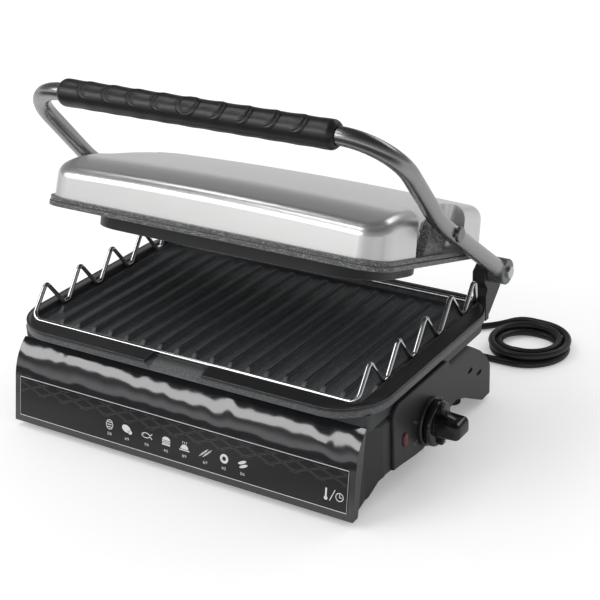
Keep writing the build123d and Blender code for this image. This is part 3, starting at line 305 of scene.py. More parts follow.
def dress(material, *names):
    """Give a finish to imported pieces."""
    for name in names:
        mesh = NODES[name].data
        mesh.materials.clear()
        mesh.materials.append(material)
        dressed.add(name)


def plastic(name, colour, roughness, grain=900.0, depth=0.02 * MM, edge=0.6 * MM, **extra):
    """Moulded plastic or rubber with grain and soft edges."""
    material, tree, shader = new_material(name, colour, roughness, **extra)
    texture = use_group(tree, GRAIN, Scale=grain, Roughness=roughness)
    edges = use_group(tree, EDGES, Radius=edge)
    join(tree, texture.outputs["Roughness"], shader.inputs["Roughness"])
    bump(tree, shader, texture.outputs["Height"], depth, base=edges.outputs["Normal"])
    return material


def metal(name, colour, roughness, worn=None, grain=700.0, depth=0.01 * MM, edge=0.4 * MM, metallic=1.0):
    """Metal, bare or painted, that may wear to another colour on its edges; edge 0 leaves them sharp."""
    material, tree, shader = new_material(name, colour, roughness, metallic)
    texture = use_group(tree, GRAIN, Scale=grain, Roughness=roughness, Drift=0.06)
    join(tree, texture.outputs["Roughness"], shader.inputs["Roughness"])
    softened = None
    if edge:
        edges = use_group(tree, EDGES, Radius=edge, Wear=0.25)
        softened = edges.outputs["Normal"]
        if worn:
            join(tree, mix_colour(tree, edges.outputs["Edge"], colour, worn), shader.inputs["Base Color"])
    bump(tree, shader, texture.outputs["Height"], depth, base=softened)
    return material


# %% [markdown]
# ## Plastics and rubbers
# The base and its control pod are one charcoal, half-matt moulding compound. The knob and its ring are
# the same black but polished. Feet, cord and plug are softer and a little greyer.

# %% Plastics
housing_plastic = plastic("charcoal housing", (0.017, 0.0175, 0.019), 0.40)
knob_plastic = plastic("polished knob", (0.006, 0.006, 0.0065), 0.16, grain=500.0, depth=0.005 * MM)
ring_plastic = plastic("knob ring", (0.012, 0.012, 0.013), 0.28, grain=500.0, depth=0.01 * MM)
rubber = plastic("foot rubber", (0.020, 0.020, 0.020), 0.70)
cord_plastic = plastic("cord sheath", (0.014, 0.014, 0.015), 0.38, grain=1200.0, depth=0.01 * MM)
ceramic = plastic("terminal ceramic", (0.62, 0.58, 0.50), 0.45)
dress(housing_plastic, "base_housing", "control_cover")
dress(knob_plastic, "knob")
dress(ring_plastic, "knob_bezel")
dress(rubber, "rubber_feet")
dress(ceramic, "terminal_block")

# %% [markdown]
# The lamp is a red lens over a small neon bulb. Unlit it looks dull and dark, so the colour is deep and
# only a part of the light goes through.

# %% Lamp
lamp_plastic = plastic("lamp lens", (0.10, 0.006, 0.008), 0.18, grain=300.0, Transmission_Weight=0.25)
dress(lamp_plastic, "lamp_lens")

# %% [markdown]
# ## The glossy front cover
# The front cover is a polished, nearly black moulding with a trace of blue. Its rolled top shows the soft
# light as a rippled band, because a thin moulding is never quite true. A slow noise, stretched down the
# roll, bends the normal just enough for that.


# %% Front cover
WAVE_SCALE = 62.0
WAVE_DEPTH = 1.4 * MM


def gloss_cover():
    """Polished blue-black plastic with the faint waves of a thin moulding."""
    cover_black = (0.0060, 0.0066, 0.0095)
    material, tree, shader = new_material(
        "polished cover", cover_black, 0.12, IOR=1.8, Specular_IOR_Level=0.6
    )
    stretch = add_node(tree, "ShaderNodeMapping", Scale=(1.0, 0.6, 0.6))
    waves = add_node(tree, "ShaderNodeTexNoise", Scale=WAVE_SCALE, Detail=0.0)
    join(tree, own_place(tree), stretch.inputs["Vector"])
    join(tree, stretch.outputs[0], waves.inputs["Vector"])
    edges = use_group(tree, EDGES, Radius=0.8 * MM)
    bump(tree, shader, waves.outputs["Fac"], WAVE_DEPTH, base=edges.outputs["Normal"])
    return material


dress(gloss_cover(), "front_cover")

# %% [markdown]
# ## The printed label
# A black film covers the leaning face of the front cover. A band of fine grey diamonds runs along its top.
# They are drawn in the film's own material. Two slanted coordinates cut the band into diamond cells, and
# the larger of a point's distances from its cell's middle is the same all along a smaller diamond, so a
# thin range of it is the outline. The signs on the film follow as thin pieces further down.


# %% Label film
label_low, label_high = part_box("front_label")
DIAMOND_WIDTH = 24.0 * MM
DIAMOND_HEIGHT = 9.0 * MM
DIAMOND_INNER = 0.415
DIAMOND_OUTER = 0.445
BAND_TOP = 2.2 * MM
BAND_HEIGHT = 12.5 * MM


def from_middle(tree, along):
    """Distance from the middle of the cell, 0 to 0.5, for cells one step long."""
    part = math_node(tree, "FRACT", along)
    return math_node(tree, "ABSOLUTE", math_node(tree, "SUBTRACT", part, 0.5))


def between(tree, value, low, high):
    """1 where a value lies between two limits."""
    above = math_node(tree, "GREATER_THAN", value, low)
    return math_node(tree, "MULTIPLY", above, math_node(tree, "LESS_THAN", value, high))


def label_film():
    """Black film with a band of printed diamonds."""
    film_black = (0.0070, 0.0070, 0.0078)
    printed_grey = (0.085, 0.085, 0.088)
    material, tree, shader = new_material("label film", film_black, 0.14)
    axes = split_axes(tree, own_place(tree))
    across = math_node(tree, "DIVIDE", axes["X"], DIAMOND_WIDTH)
    down = math_node(tree, "SUBTRACT", label_high.z, axes["Z"])
    depth = math_node(tree, "DIVIDE", down, DIAMOND_HEIGHT)
    rising = from_middle(tree, math_node(tree, "ADD", across, depth))
    falling = from_middle(tree, math_node(tree, "SUBTRACT", across, depth))
    outline = between(tree, math_node(tree, "MAXIMUM", rising, falling), DIAMOND_INNER, DIAMOND_OUTER)
    band = between(tree, down, BAND_TOP, BAND_TOP + BAND_HEIGHT)
    printed = math_node(tree, "MULTIPLY", outline, band)
    join(tree, mix_colour(tree, printed, film_black, printed_grey), shader.inputs["Base Color"])
    smudge = use_group(tree, GRAIN, Scale=400.0, Roughness=0.14, Drift=0.08)
    join(tree, smudge.outputs["Roughness"], shader.inputs["Roughness"])
    return material


dress(label_film(), "front_label")

# %% [markdown]
# ## The cast plates
# Both plates have the same coat. On the cooking side it is nearly black and slightly greasy; on the thick
# flange it is thinner, so the flecks and the bare metal of the edges show through as a silvery grey. The
# two zones are told apart by height on the base plate, and on the lid plate by a height along its own tilt.


# %% Casting finish
FULL_COAT = (0.0105, 0.0105, 0.011)
FULL_FLECK = (0.06, 0.06, 0.06)
BARE_EDGE = (0.30, 0.31, 0.32)
FULL_FLECK_SHARE = 0.15
HAMMER_DEPTH = 0.06 * MM


def casting(name, zone_normal, zone_height, zone_fade, thin_coat, thin_fleck):
    """Coated casting: dark on one side of a plane, a thin coat beyond it, worn on its edges."""
    material, tree, shader = new_material(name, FULL_COAT, 0.40)
    along = add_node(tree, "ShaderNodeVectorMath", {"operation": "DOT_PRODUCT"})
    along.inputs[1].default_value = zone_normal
    join(tree, own_place(tree), along.inputs[0])
    zone = add_node(tree, "ShaderNodeMapRange")
    join(tree, along.outputs["Value"], zone.inputs["Value"])
    zone.inputs["From Min"].default_value = zone_height - zone_fade
    zone.inputs["From Max"].default_value = zone_height + zone_fade
    flecks = use_group(tree, CASTING, Scale=1300.0, Flecks=0.45)
    edges = use_group(tree, EDGES, Radius=1.2 * MM, Wear=0.45)
    faint = math_node(tree, "MULTIPLY", flecks.outputs["Fleck"], FULL_FLECK_SHARE)
    dark = mix_colour(tree, faint, FULL_COAT, FULL_FLECK)
    pale = mix_colour(tree, flecks.outputs["Fleck"], thin_coat, thin_fleck)
    coat = mix_colour(tree, zone.outputs[0], dark, pale)
    worn = mix_colour(tree, edges.outputs["Edge"], coat, BARE_EDGE)
    join(tree, worn, shader.inputs["Base Color"])
    softened = edges.outputs["Normal"]
    bump(tree, shader, flecks.outputs["Height"], HAMMER_DEPTH, strength=0.8, base=softened)
    return material


LOWER_COAT_END = 93.0 * MM
UPPER_COAT_END = 161.0 * MM
LID_TILT = math.radians(16.8)
LID_UP = Vector((0.0, math.sin(LID_TILT), math.cos(LID_TILT)))
lower_casting = casting(
    "lower casting", (0.0, 0.0, -1.0), -LOWER_COAT_END, 1.2 * MM, (0.070, 0.074, 0.080), (0.20, 0.21, 0.22)
)
dress(lower_casting, "lower_plate")
upper_casting = casting(
    "upper casting", tuple(LID_UP), UPPER_COAT_END, 0.6 * MM, (0.070, 0.071, 0.073), (0.42, 0.43, 0.44)
)
dress(upper_casting, "upper_plate")

# %% [markdown]
# ## Silver, steel and chrome
# The lid cover is steel sheet under satin silver lacquer. The handle is a brushed tube, the rack is
# polished chrome wire, and the hinge ends are sand-grey castings. Fasteners are zinc plated. The bracket
# and the frame below the plate are painted dark and show metal where they rub.

# %% Metals
silver = metal(
    "silver lacquer", (0.75, 0.75, 0.745), 0.29, grain=1500.0, depth=0.006 * MM, edge=0, metallic=0.85
)
tube_steel = metal("satin tube", (0.36, 0.36, 0.36), 0.27, grain=900.0, depth=0.005 * MM, edge=0)
bolt_steel = metal("dull bolt", (0.26, 0.26, 0.25), 0.35)
chrome = metal("chrome wire", (0.66, 0.66, 0.67), 0.10, grain=300.0, depth=0.001 * MM, edge=0)
cast_grey = metal("hinge casting", (0.22, 0.23, 0.24), 0.42, worn=(0.5, 0.5, 0.5), metallic=0.8)
zinc = metal("zinc plate", (0.62, 0.62, 0.60), 0.28)
bracket_paint = metal("bracket paint", (0.025, 0.025, 0.027), 0.45, worn=(0.30, 0.30, 0.31), metallic=0.0)
frame_paint = metal("frame paint", (0.045, 0.047, 0.050), 0.40, worn=(0.25, 0.25, 0.26), metallic=0.2)
bright_sheet = metal("bright sheet", (0.70, 0.70, 0.71), 0.25)
heater_steel = metal("heater tube", (0.12, 0.11, 0.10), 0.50)
instrument = metal("thermostat case", (0.45, 0.45, 0.44), 0.40)
dress(silver, "lid_cover")
dress(tube_steel, "handle_tube")
dress(chrome, "wire_rack")
dress(cast_grey, "hinge_cap_right", "hinge_cap_left")
dress(zinc, "hinge_pins", "lid_pivot_spacers", "lid_pivot_nuts")
dress(zinc, "bracket_screws", "hatch_screws", "thermostat_shaft")
dress(bolt_steel, "lid_pivot_bolts")
dress(bracket_paint, "hinge_bracket_right", "hinge_bracket_left", "bottom_cover")
dress(frame_paint, "plate_frame")
dress(bright_sheet, "lower_heat_reflector", "upper_heat_reflector")
dress(heater_steel, "lower_heater", "upper_heater")
dress(instrument, "thermostat")

# %% [markdown]
# ## The plug
# The plug is one moulding with two metal pins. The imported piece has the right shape, so it only needs two
# finishes in one material: beyond the plug's face, on the side of the pins, the surface is nickel.


# %% Plug finish
PIN_LENGTH = 19.0 * MM
FACE_MARGIN = 0.05 * MM


def plug_finish():
    """Black moulding with nickel pins."""
    pin_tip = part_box("plug")[0].x
    plug_black = (0.016, 0.016, 0.017)
    nickel = (0.62, 0.60, 0.55)
    material, tree, shader = new_material("plug", plug_black, 0.36)
    axes = split_axes(tree, own_place(tree))
    pins = math_node(tree, "LESS_THAN", axes["X"], pin_tip + PIN_LENGTH - FACE_MARGIN)
    join(tree, mix_colour(tree, pins, plug_black, nickel), shader.inputs["Base Color"])
    join(tree, pins, shader.inputs["Metallic"])
    texture = use_group(tree, GRAIN, Scale=900.0, Roughness=0.36)
    join(tree, texture.outputs["Roughness"], shader.inputs["Roughness"])
    edges = use_group(tree, EDGES, Radius=0.8 * MM)
    bump(tree, shader, texture.outputs["Height"], 0.02 * MM, base=edges.outputs["Normal"])
    return material


dress(plug_finish(), "plug")

# %% [markdown]
# ## Helpers for new pieces
# A new piece is drawn in a bmesh, turned into an object at the origin, given a finish and told which body
# it rides on. Smooth shading is on by default. Round forms start as an outline that is spun once round.


# %% Piece helpers
def spin_outline(drawing, points, axis, steps):
    """Turn an outline once round an axis through the origin."""
    verts = [drawing.verts.new(point) for point in points]
    edges = [drawing.edges.new(pair) for pair in zip(verts, verts[1:])]
    bmesh.ops.spin(
        drawing, geom=verts + edges, cent=(0, 0, 0), axis=axis, angle=math.tau, steps=steps, use_merge=True
    )


def make_piece(name, drawing, material, body, smooth=True):
    """An object at the origin from a finished bmesh, riding on a body."""
    mesh = bpy.data.meshes.new(name)
    drawing.to_mesh(mesh)
    drawing.free()
    for face in mesh.polygons:
        face.use_smooth = smooth
    mesh.materials.append(material)
    piece = new_object(name, mesh)
    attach(piece, body)
    return piece


# %% [markdown]
# ## The moulded grip
# The grip is a black sleeve with a row of raised crescents, four to the left, four to the right and a ring
# in the middle. It could be a cylinder with a bump map, but the marks stand out on the silhouette, so they
# are real. A fine grid is rolled up into a sleeve, and each of its points is moved out or in by how close
# it lies to the line of a crescent.

# %% Grip
grip_low, grip_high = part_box("handle_grip")
GRIP_CENTRE = (grip_low + grip_high) / 2
GRIP_HALF_LENGTH = (grip_high.x - grip_low.x) / 2
ROOM_FOR_MARKS = 0.8 * MM
GRIP_RADIUS = (grip_high.z - grip_low.z) / 2 - ROOM_FOR_MARKS
GRIP_SWELL = 0.15 * MM
GRIP_END = 5.0 * MM
GRIP_END_DROP = 2.6 * MM
GRIP_COLUMNS = 440
GRIP_ROWS = 110
TUBE_RADIUS = 7.5 * MM
BORE_GAP = 0.02 * MM
MARKS_PER_SIDE = 4
MARK_PITCH = 25.0 * MM
MARK_RADIUS = 9.8 * MM
MARK_INNER_RADIUS = 7.6 * MM
MARK_INNER_SHIFT = 1.5 * MM
MARK_LINE = 0.75 * MM
MARK_HEIGHT = 0.6 * MM
MARK_ANGLE = math.radians(55)
MARK_SIDE_SHARE = 0.45
MARK_FADE = 1.2


def crescent(along, around, index):
    """How far one mark lifts a point, from its distances along and around the grip."""
    offset = along - index * MARK_PITCH
    outer = math.hypot(offset, around)
    if outer > 2 * MARK_RADIUS:
        return 0.0
    side = 0.0 if index == 0 else math.copysign(1.0, index)
    inner = math.hypot(offset + side * MARK_INNER_SHIFT, around)
    rims = math.exp(-(((outer - MARK_RADIUS) / MARK_LINE) ** 2))
    rims += math.exp(-(((inner - MARK_INNER_RADIUS) / MARK_LINE) ** 2))
    facing = side * offset / max(outer, 0.001 * MM)
    reach = 1.0 if index == 0 else max(0.0, min(1.0, MARK_SIDE_SHARE + MARK_FADE * facing))
    return MARK_HEIGHT * rims * reach


def grip_radius(along, angle):
    """The grip's radius at a place along it and an angle around it."""
    around = (angle - MARK_ANGLE) * GRIP_RADIUS
    lift = sum(crescent(along, around, index) for index in range(-MARKS_PER_SIDE, MARKS_PER_SIDE + 1))
    to_end = GRIP_HALF_LENGTH - abs(along)
    rounding = max(0.0, 1.0 - to_end / GRIP_END)
    swell = GRIP_SWELL * math.cos(math.tau * along / MARK_PITCH)
    return GRIP_RADIUS + min(lift, MARK_HEIGHT) + swell - GRIP_END_DROP * rounding**2


def moulded_grip():
    """Roll a grid into a sleeve, shape it, and close its ends round the tube."""
    drawing = bmesh.new()
    bmesh.ops.create_grid(drawing, x_segments=GRIP_COLUMNS, y_segments=GRIP_ROWS, size=1.0)
    for vertex in drawing.verts:
        along = vertex.co.x * GRIP_HALF_LENGTH
        angle = vertex.co.y * math.pi
        radius = grip_radius(along, angle)
        vertex.co = (along, -radius * math.cos(angle), radius * math.sin(angle))
    bmesh.ops.remove_doubles(drawing, verts=drawing.verts, dist=0.01 * MM)
    rims = [edge for edge in drawing.edges if edge.is_boundary]
    grown = bmesh.ops.extrude_edge_only(drawing, edges=rims)["geom"]
    inner = [item for item in grown if isinstance(item, bmesh.types.BMVert)]
    for vertex in inner:
        across = Vector((0.0, vertex.co.y, vertex.co.z)).normalized() * (TUBE_RADIUS + BORE_GAP)
        vertex.co = (vertex.co.x, across.y, across.z)
    loops = [item for item in grown if isinstance(item, bmesh.types.BMEdge) and item.is_boundary]
    bmesh.ops.bridge_loops(drawing, edges=loops)
    bmesh.ops.recalc_face_normals(drawing, faces=drawing.faces)
    bmesh.ops.translate(drawing, vec=GRIP_CENTRE, verts=drawing.verts)
    return drawing


grip_plastic = plastic("grip", (0.011, 0.011, 0.012), 0.36, grain=1400.0)
grip = make_piece("moulded_grip", moulded_grip(), grip_plastic, "handle")
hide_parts("handle_grip")
print("grip faces", len(grip.data.polygons))

# %% [markdown]
# ## The knob
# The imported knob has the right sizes, but a moulded one is rounder: its bar is soft on every edge, and
# light runs round it. The skirt is an outline spun round the shaft's axis, the bar a cube with wide
# bevels, and the two webs a curved outline pulled out to a thin slab. Overlapping parts in one mesh are
# fine here, because only the outside is seen.

# %% Knob
knob_low, knob_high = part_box("knob")
KNOB_CENTRE = Vector((knob_low.x, (knob_low.y + knob_high.y) / 2, (knob_low.z + knob_high.z) / 2))
KNOB_RADIUS = (knob_high.z - knob_low.z) / 2
KNOB_LENGTH = knob_high.x - knob_low.x
SKIRT = 6.0 * MM
SKIRT_EDGE = [(0.0, 0.97), (0.12, 1.0), (0.62, 1.0), (0.82, 0.985), (0.95, 0.95), (1.0, 0.90)]
BAR_START = 1.0 * MM
BAR_LONG = 25.0 * MM
BAR_HIGH = 17.0 * MM
BAR_TAPER = 0.90
BAR_ROUND = 4.6 * MM
WEB_THICK = 6.5 * MM
WEB_ROUND = 1.0 * MM
WEB_BACK = [(5.5, 2.0), (5.5, 18.4), (7.5, 18.8), (9.4, 18.2)]
WEB_BEND = (9.8, 9.6)
WEB_TIP = (21.0, 7.4)
WEB_FOOT = (21.0, 2.0)
WEB_STEPS = 8


def spin_skirt(drawing):
    """The disc behind the bar, as an outline spun round the shaft's axis."""
    outline = [(0.0, 0.0), *SKIRT_EDGE, (1.0, 0.0)]
    points = [(along * SKIRT, 0.0, radius * KNOB_RADIUS) for along, radius in outline]
    spin_outline(drawing, points, (1, 0, 0), steps=96)


def add_bar(drawing):
    """The grip bar: a cube with wide round edges, slightly narrower at its end."""
    made = bmesh.ops.create_cube(drawing, size=1.0)
    for vertex in made["verts"]:
        narrow = BAR_TAPER if vertex.co.x > 0 else 1.0
        vertex.co = (
            (vertex.co.x + 0.5) * (KNOB_LENGTH - BAR_START) + BAR_START,
            vertex.co.y * BAR_LONG * narrow,
            vertex.co.z * BAR_HIGH * narrow,
        )
    edges = list({edge for vertex in made["verts"] for edge in vertex.link_edges})
    bmesh.ops.bevel(
        drawing, geom=edges, affect="EDGES", offset=BAR_ROUND, segments=7, profile=0.5, material=-1
    )


def web_outline():
    """Points round a web, in millimetres: straight at the back, then one bend down to the tip."""
    points = list(WEB_BACK)
    for step in range(1, WEB_STEPS + 1):
        share = step / WEB_STEPS
        pulls = (1 - share) ** 2, 2 * share * (1 - share), share**2
        point = tuple(
            sum(pull * value for pull, value in zip(pulls, values))
            for values in zip(WEB_BACK[-1], WEB_BEND, WEB_TIP)
        )
        points.append(point)
    points.append(WEB_FOOT)
    return points


def add_web(drawing, side):
    """A thin hollowed slab above or below the bar."""
    verts = [drawing.verts.new((x * MM, -WEB_THICK / 2, side * z * MM)) for x, z in web_outline()]
    face = drawing.faces.new(verts)
    grown = bmesh.ops.extrude_face_region(drawing, geom=[face], use_keep_orig=True)["geom"]
    moved = [item for item in grown if isinstance(item, bmesh.types.BMVert)]
    bmesh.ops.translate(drawing, vec=(0.0, WEB_THICK, 0.0), verts=moved)
    sides = [item for item in grown if isinstance(item, bmesh.types.BMEdge)] + list(face.edges)
    bmesh.ops.bevel(
        drawing, geom=sides, affect="EDGES", offset=WEB_ROUND, segments=3, profile=0.5, material=-1
    )


def moulded_knob():
    """Skirt, bar and webs in one mesh, at the end of the shaft."""
    drawing = bmesh.new()
    spin_skirt(drawing)
    add_bar(drawing)
    for side in (1, -1):
        add_web(drawing, side)
    bmesh.ops.recalc_face_normals(drawing, faces=drawing.faces)
    bmesh.ops.translate(drawing, vec=KNOB_CENTRE, verts=drawing.verts)
    return drawing


knob_piece = make_piece("moulded_knob", moulded_knob(), knob_plastic, "knob")
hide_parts("knob")
print("knob faces", len(knob_piece.data.polygons))

# %% [markdown]
# ## The mains cord
# The cord leaves the back, drops to the worktop, winds up in a neat coil of two layers behind the grill
# and ends in the plug. Its line is one smooth spline. The loose points are given in millimetres of the
# part's source, whose origin the frame has moved. The turns of the coil come from a loop: from one half
# turn to the next the radius shrinks on the lower layer, the cord climbs, and the radius grows again on
# the upper one.

# %% Cord route
FRAME_SHIFT = Vector((-12.0, -88.75, 0.0)) * MM
CORD_RADIUS = 3.25 * MM
COIL_CENTRE = Vector((167.0, 300.3, 0.0)) * MM
LOWER_LAYER = 3.25
UPPER_LAYER = 10.45
COIL_STATIONS = [
    (39.8, LOWER_LAYER), (36.2, LOWER_LAYER), (32.6, LOWER_LAYER), (29.0, LOWER_LAYER),
    (26.0, UPPER_LAYER), (32.6, UPPER_LAYER), (36.2, UPPER_LAYER), (39.8, UPPER_LAYER),
]
POINTS_PER_HALF_TURN = 12
LEAVING = [
    (60, 219, 34), (60, 236, 34), (66, 252, 25), (80, 262, 13), (101, 263.5, 4.5),
    (127, 260.5, LOWER_LAYER),
]
RETURNING = [
    (142, 340.1, UPPER_LAYER), (125, 331, 4.4), (109, 319, 3.3), (94, 304, 4.6), (79, 293, 12),
    (62, 287, 18.5), (42, 287, 18.5),
]


def coil_points():
    """Points along the coil, from its first front pass to its last rear pass."""
    points = []
    for half_turn in range(len(COIL_STATIONS) - 1):
        (radius, height), (next_radius, next_height) = COIL_STATIONS[half_turn : half_turn + 2]
        for step in range(POINTS_PER_HALF_TURN):
            share = step / POINTS_PER_HALF_TURN
            angle = math.pi * (half_turn + share) - math.pi / 2
            place = (radius + (next_radius - radius) * share) * MM
            rise = (height + (next_height - height) * share) * MM
            points.append(COIL_CENTRE + Vector((place * math.cos(angle), place * math.sin(angle), rise)))
    last_radius, last_height = COIL_STATIONS[-1]
    points.append(COIL_CENTRE + Vector((0.0, last_radius * MM, last_height * MM)))
    return points


def mains_cord():
    """The cord as one spline curve with a round section."""
    route = [Vector(point) * MM for point in LEAVING]
    route += coil_points()
    route += [Vector(point) * MM for point in RETURNING]
    curve = bpy.data.curves.new("mains_cord_sheath", "CURVE")
    curve.dimensions = "3D"
    spline = curve.splines.new("NURBS")
    spline.points.add(len(route) - 1)
    for point, place in zip(spline.points, route):
        point.co = (*(place + FRAME_SHIFT), 1.0)
    spline.order_u = 3
    spline.use_endpoint_u = True
    spline.resolution_u = 4
    curve.bevel_depth = CORD_RADIUS
    curve.bevel_resolution = 5
    curve.materials.append(cord_plastic)
    piece = new_object("mains_cord_sheath", curve)
    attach(piece, "base")
    return piece


cord = mains_cord()
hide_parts("mains_cord", "cord_coil", "plug_lead")

# %% [markdown]
# ## The strain relief
# Where the cord leaves the base it runs through a tapered rubber sleeve with ribs, which keeps it from
# kinking. Its outline is drawn as a few points and spun round the cord's axis.

# %% Strain relief
relief_low, relief_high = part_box("strain_relief")
RELIEF_RIBS = 6
RELIEF_SHOULDER = 13.0 * MM
RELIEF_TIP_RADIUS = 4.0 * MM
RELIEF_TIP_STEP = 0.3 * MM
RELIEF_WALL = 0.2 * MM
GROOVE_DEPTH = 0.9 * MM
GROOVE_STEPS = ((0.05, 0.0), (0.55, 0.0), (0.60, GROOVE_DEPTH), (0.95, GROOVE_DEPTH))


def ribbed_relief():
    """Spin a stepped outline round the cord's axis."""
    root_radius = (relief_high.z - relief_low.z) / 2
    axis = Vector(((relief_low.x + relief_high.x) / 2, relief_low.y, (relief_low.z + relief_high.z) / 2))
    length = relief_high.y - relief_low.y
    taper = length - RELIEF_SHOULDER
    outline = [(0.0, 0.0), (0.0, root_radius), (RELIEF_SHOULDER, root_radius)]
    for rib in range(RELIEF_RIBS):
        for share, drop in GROOVE_STEPS:
            place = (rib + share) / RELIEF_RIBS
            radius = root_radius + (RELIEF_TIP_RADIUS - root_radius) * place - drop
            outline.append((RELIEF_SHOULDER + place * taper, max(radius, CORD_RADIUS + RELIEF_WALL)))
    outline += [(length, RELIEF_TIP_RADIUS - RELIEF_TIP_STEP), (length, 0.0)]
    drawing = bmesh.new()
    points = [(0.0, along, radius) for along, radius in outline]
    spin_outline(drawing, points, (0, 1, 0), steps=40)
    bmesh.ops.remove_doubles(drawing, verts=drawing.verts, dist=0.001 * MM)
    bmesh.ops.recalc_face_normals(drawing, faces=drawing.faces)
    bmesh.ops.translate(drawing, vec=axis, verts=drawing.verts)
    return drawing


relief = make_piece("ribbed_strain_relief", ribbed_relief(), rubber, "base", smooth=False)
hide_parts("strain_relief")

# %% [markdown]
# ## Signs on the label
# Under the diamonds stand eight small cooking signs with a pair of numbers below each, and at the right a
# thermometer and a clock. They are ink, but very thin pieces keep their edges crisp in any view. All are
# drawn flat, in millimetres from the middle of the label's top edge, then raised by the thickness of the
# ink and laid on the leaning face.

# %% Ink helpers
LABEL_LEAN = math.radians(10.1)
LABEL_FILM = 0.3 * MM
INK = 0.06 * MM
LABEL_ORIGIN = Vector(
    ((label_low.x + label_high.x) / 2, label_high.y - LABEL_FILM * math.cos(LABEL_LEAN), label_high.z)
)
LABEL_PLACE = Matrix.Translation(LABEL_ORIGIN) @ Matrix.Rotation(math.pi / 2 - LABEL_LEAN, 4, "X")


def flat_place(x, y, turn=0.0, width=1.0, height=1.0):
    """Where a unit shape goes on the drawing, in metres."""
    return (
        Matrix.Translation(Vector((x, y, 0.0)) * MM)
        @ Matrix.Rotation(math.radians(turn), 4, "Z")
        @ Matrix.Diagonal((width * MM, height * MM, 1.0, 1.0))
    )


def bar(sheet, x, y, width, height, turn=0.0):
    """A filled bar with its centre at x, y."""
    place = flat_place(x, y, turn, width, height)
    bmesh.ops.create_grid(sheet, x_segments=1, y_segments=1, size=0.5, matrix=place)


def disc(sheet, x, y, width, height, turn=0.0, sides=24):
    """A filled oval."""
    place = flat_place(x, y, turn, width, height)
    bmesh.ops.create_circle(sheet, cap_ends=True, radius=0.5, segments=sides, matrix=place)


def loop(sheet, x, y, width, height, line, sides=28):
    """An oval outline."""
    edges = []
    for shrink in (0.0, 2 * line):
        place = flat_place(x, y, 0.0, width - shrink, height - shrink)
        made = bmesh.ops.create_circle(sheet, cap_ends=False, radius=0.5, segments=sides, matrix=place)
        edges += list({edge for vertex in made["verts"] for edge in vertex.link_edges})
    bmesh.ops.bridge_loops(sheet, edges=edges)


def dome(sheet, x, y, width, height):
    """The upper half of a filled oval."""
    place = flat_place(x, y, 0.0, width, 2 * height)
    made = bmesh.ops.create_circle(sheet, cap_ends=True, radius=0.5, segments=24, matrix=place)
    for vertex in made["verts"]:
        vertex.co.y = max(vertex.co.y, y * MM)


def words(sheet, text, x, y, size):
    """Plain figures centred at x, y."""
    letters = bpy.data.curves.new("figures", "FONT")
    letters.body = text
    letters.align_x = "CENTER"
    letters.align_y = "CENTER"
    letters.size = size * MM
    holder = new_object("figures", letters)
    bpy.context.view_layer.update()
    flat = bpy.data.meshes.new_from_object(holder.evaluated_get(bpy.context.evaluated_depsgraph_get()))
    flat.transform(Matrix.Translation(Vector((x, y, 0.0)) * MM))
    sheet.from_mesh(flat)
    bpy.data.objects.remove(holder)
    bpy.data.meshes.remove(flat)


def raise_ink(sheet, place):
    """Give the flat shapes the thickness of ink and lay them in their place."""
    faces = list(sheet.faces)
    raised = bmesh.ops.extrude_face_region(sheet, geom=faces, use_keep_orig=True)["geom"]
    top = [item for item in raised if isinstance(item, bmesh.types.BMVert)]
    bmesh.ops.translate(sheet, vec=(0.0, 0.0, INK), verts=top)
    bmesh.ops.recalc_face_normals(sheet, faces=sheet.faces)
    bmesh.ops.transform(sheet, matrix=place, verts=sheet.verts)


# %% [markdown]
# Each sign is a few bars, discs and loops. Drawing them with such small functions keeps a sign to a few
# lines, and makes it easy to move or swap one.


# %% Cooking signs
def sliced_bread(sheet, x, y):
    loop(sheet, x, y, 8.0, 9.5, 0.7, sides=8)
    for row in (-2.2, 0.0, 2.2):
        bar(sheet, x, y + row, 4.6, 0.7)


def cutlet(sheet, x, y):
    disc(sheet, x - 0.8, y + 0.6, 9.5, 6.6, turn=-18)
    disc(sheet, x + 3.2, y - 1.8, 4.6, 3.8)


def fish(sheet, x, y):
    loop(sheet, x - 1.0, y, 9.0, 5.0, 0.7)
    bar(sheet, x + 4.4, y + 1.3, 3.4, 0.8, turn=40)
    bar(sheet, x + 4.4, y - 1.3, 3.4, 0.8, turn=-40)
    disc(sheet, x - 3.4, y + 0.5, 0.9, 0.9, sides=10)


def bun(sheet, x, y):
    dome(sheet, x, y + 0.9, 8.4, 3.2)
    bar(sheet, x, y, 8.8, 0.8)
    bar(sheet, x, y - 1.4, 8.0, 0.9)
    bar(sheet, x, y - 3.0, 8.4, 1.3)


def roast(sheet, x, y):
    dome(sheet, x, y - 2.2, 8.0, 4.2)
    bar(sheet, x, y - 3.2, 10.5, 0.9)
    for step in (-2.0, 0.0, 2.0):
        bar(sheet, x + step, y + 3.6, 0.5, 2.2, turn=-14)


def two_sticks(sheet, x, y):
    slant = 42
    across = math.cos(math.radians(slant))
    up = math.sin(math.radians(slant))
    for shift in (-1.7, 1.7):
        bar(sheet, x + shift, y, 11.5, 0.6, turn=slant)
        for step in (-2.4, 0.0, 2.4):
            disc(sheet, x + shift + step * across, y + step * up, 2.3, 1.7, turn=slant, sides=12)


def rings(sheet, x, y):
    loop(sheet, x, y, 8.2, 8.2, 2.2)


def sausages(sheet, x, y):
    disc(sheet, x - 0.6, y + 1.4, 8.6, 2.6, turn=24)
    disc(sheet, x + 0.8, y - 1.6, 8.6, 2.6, turn=24)


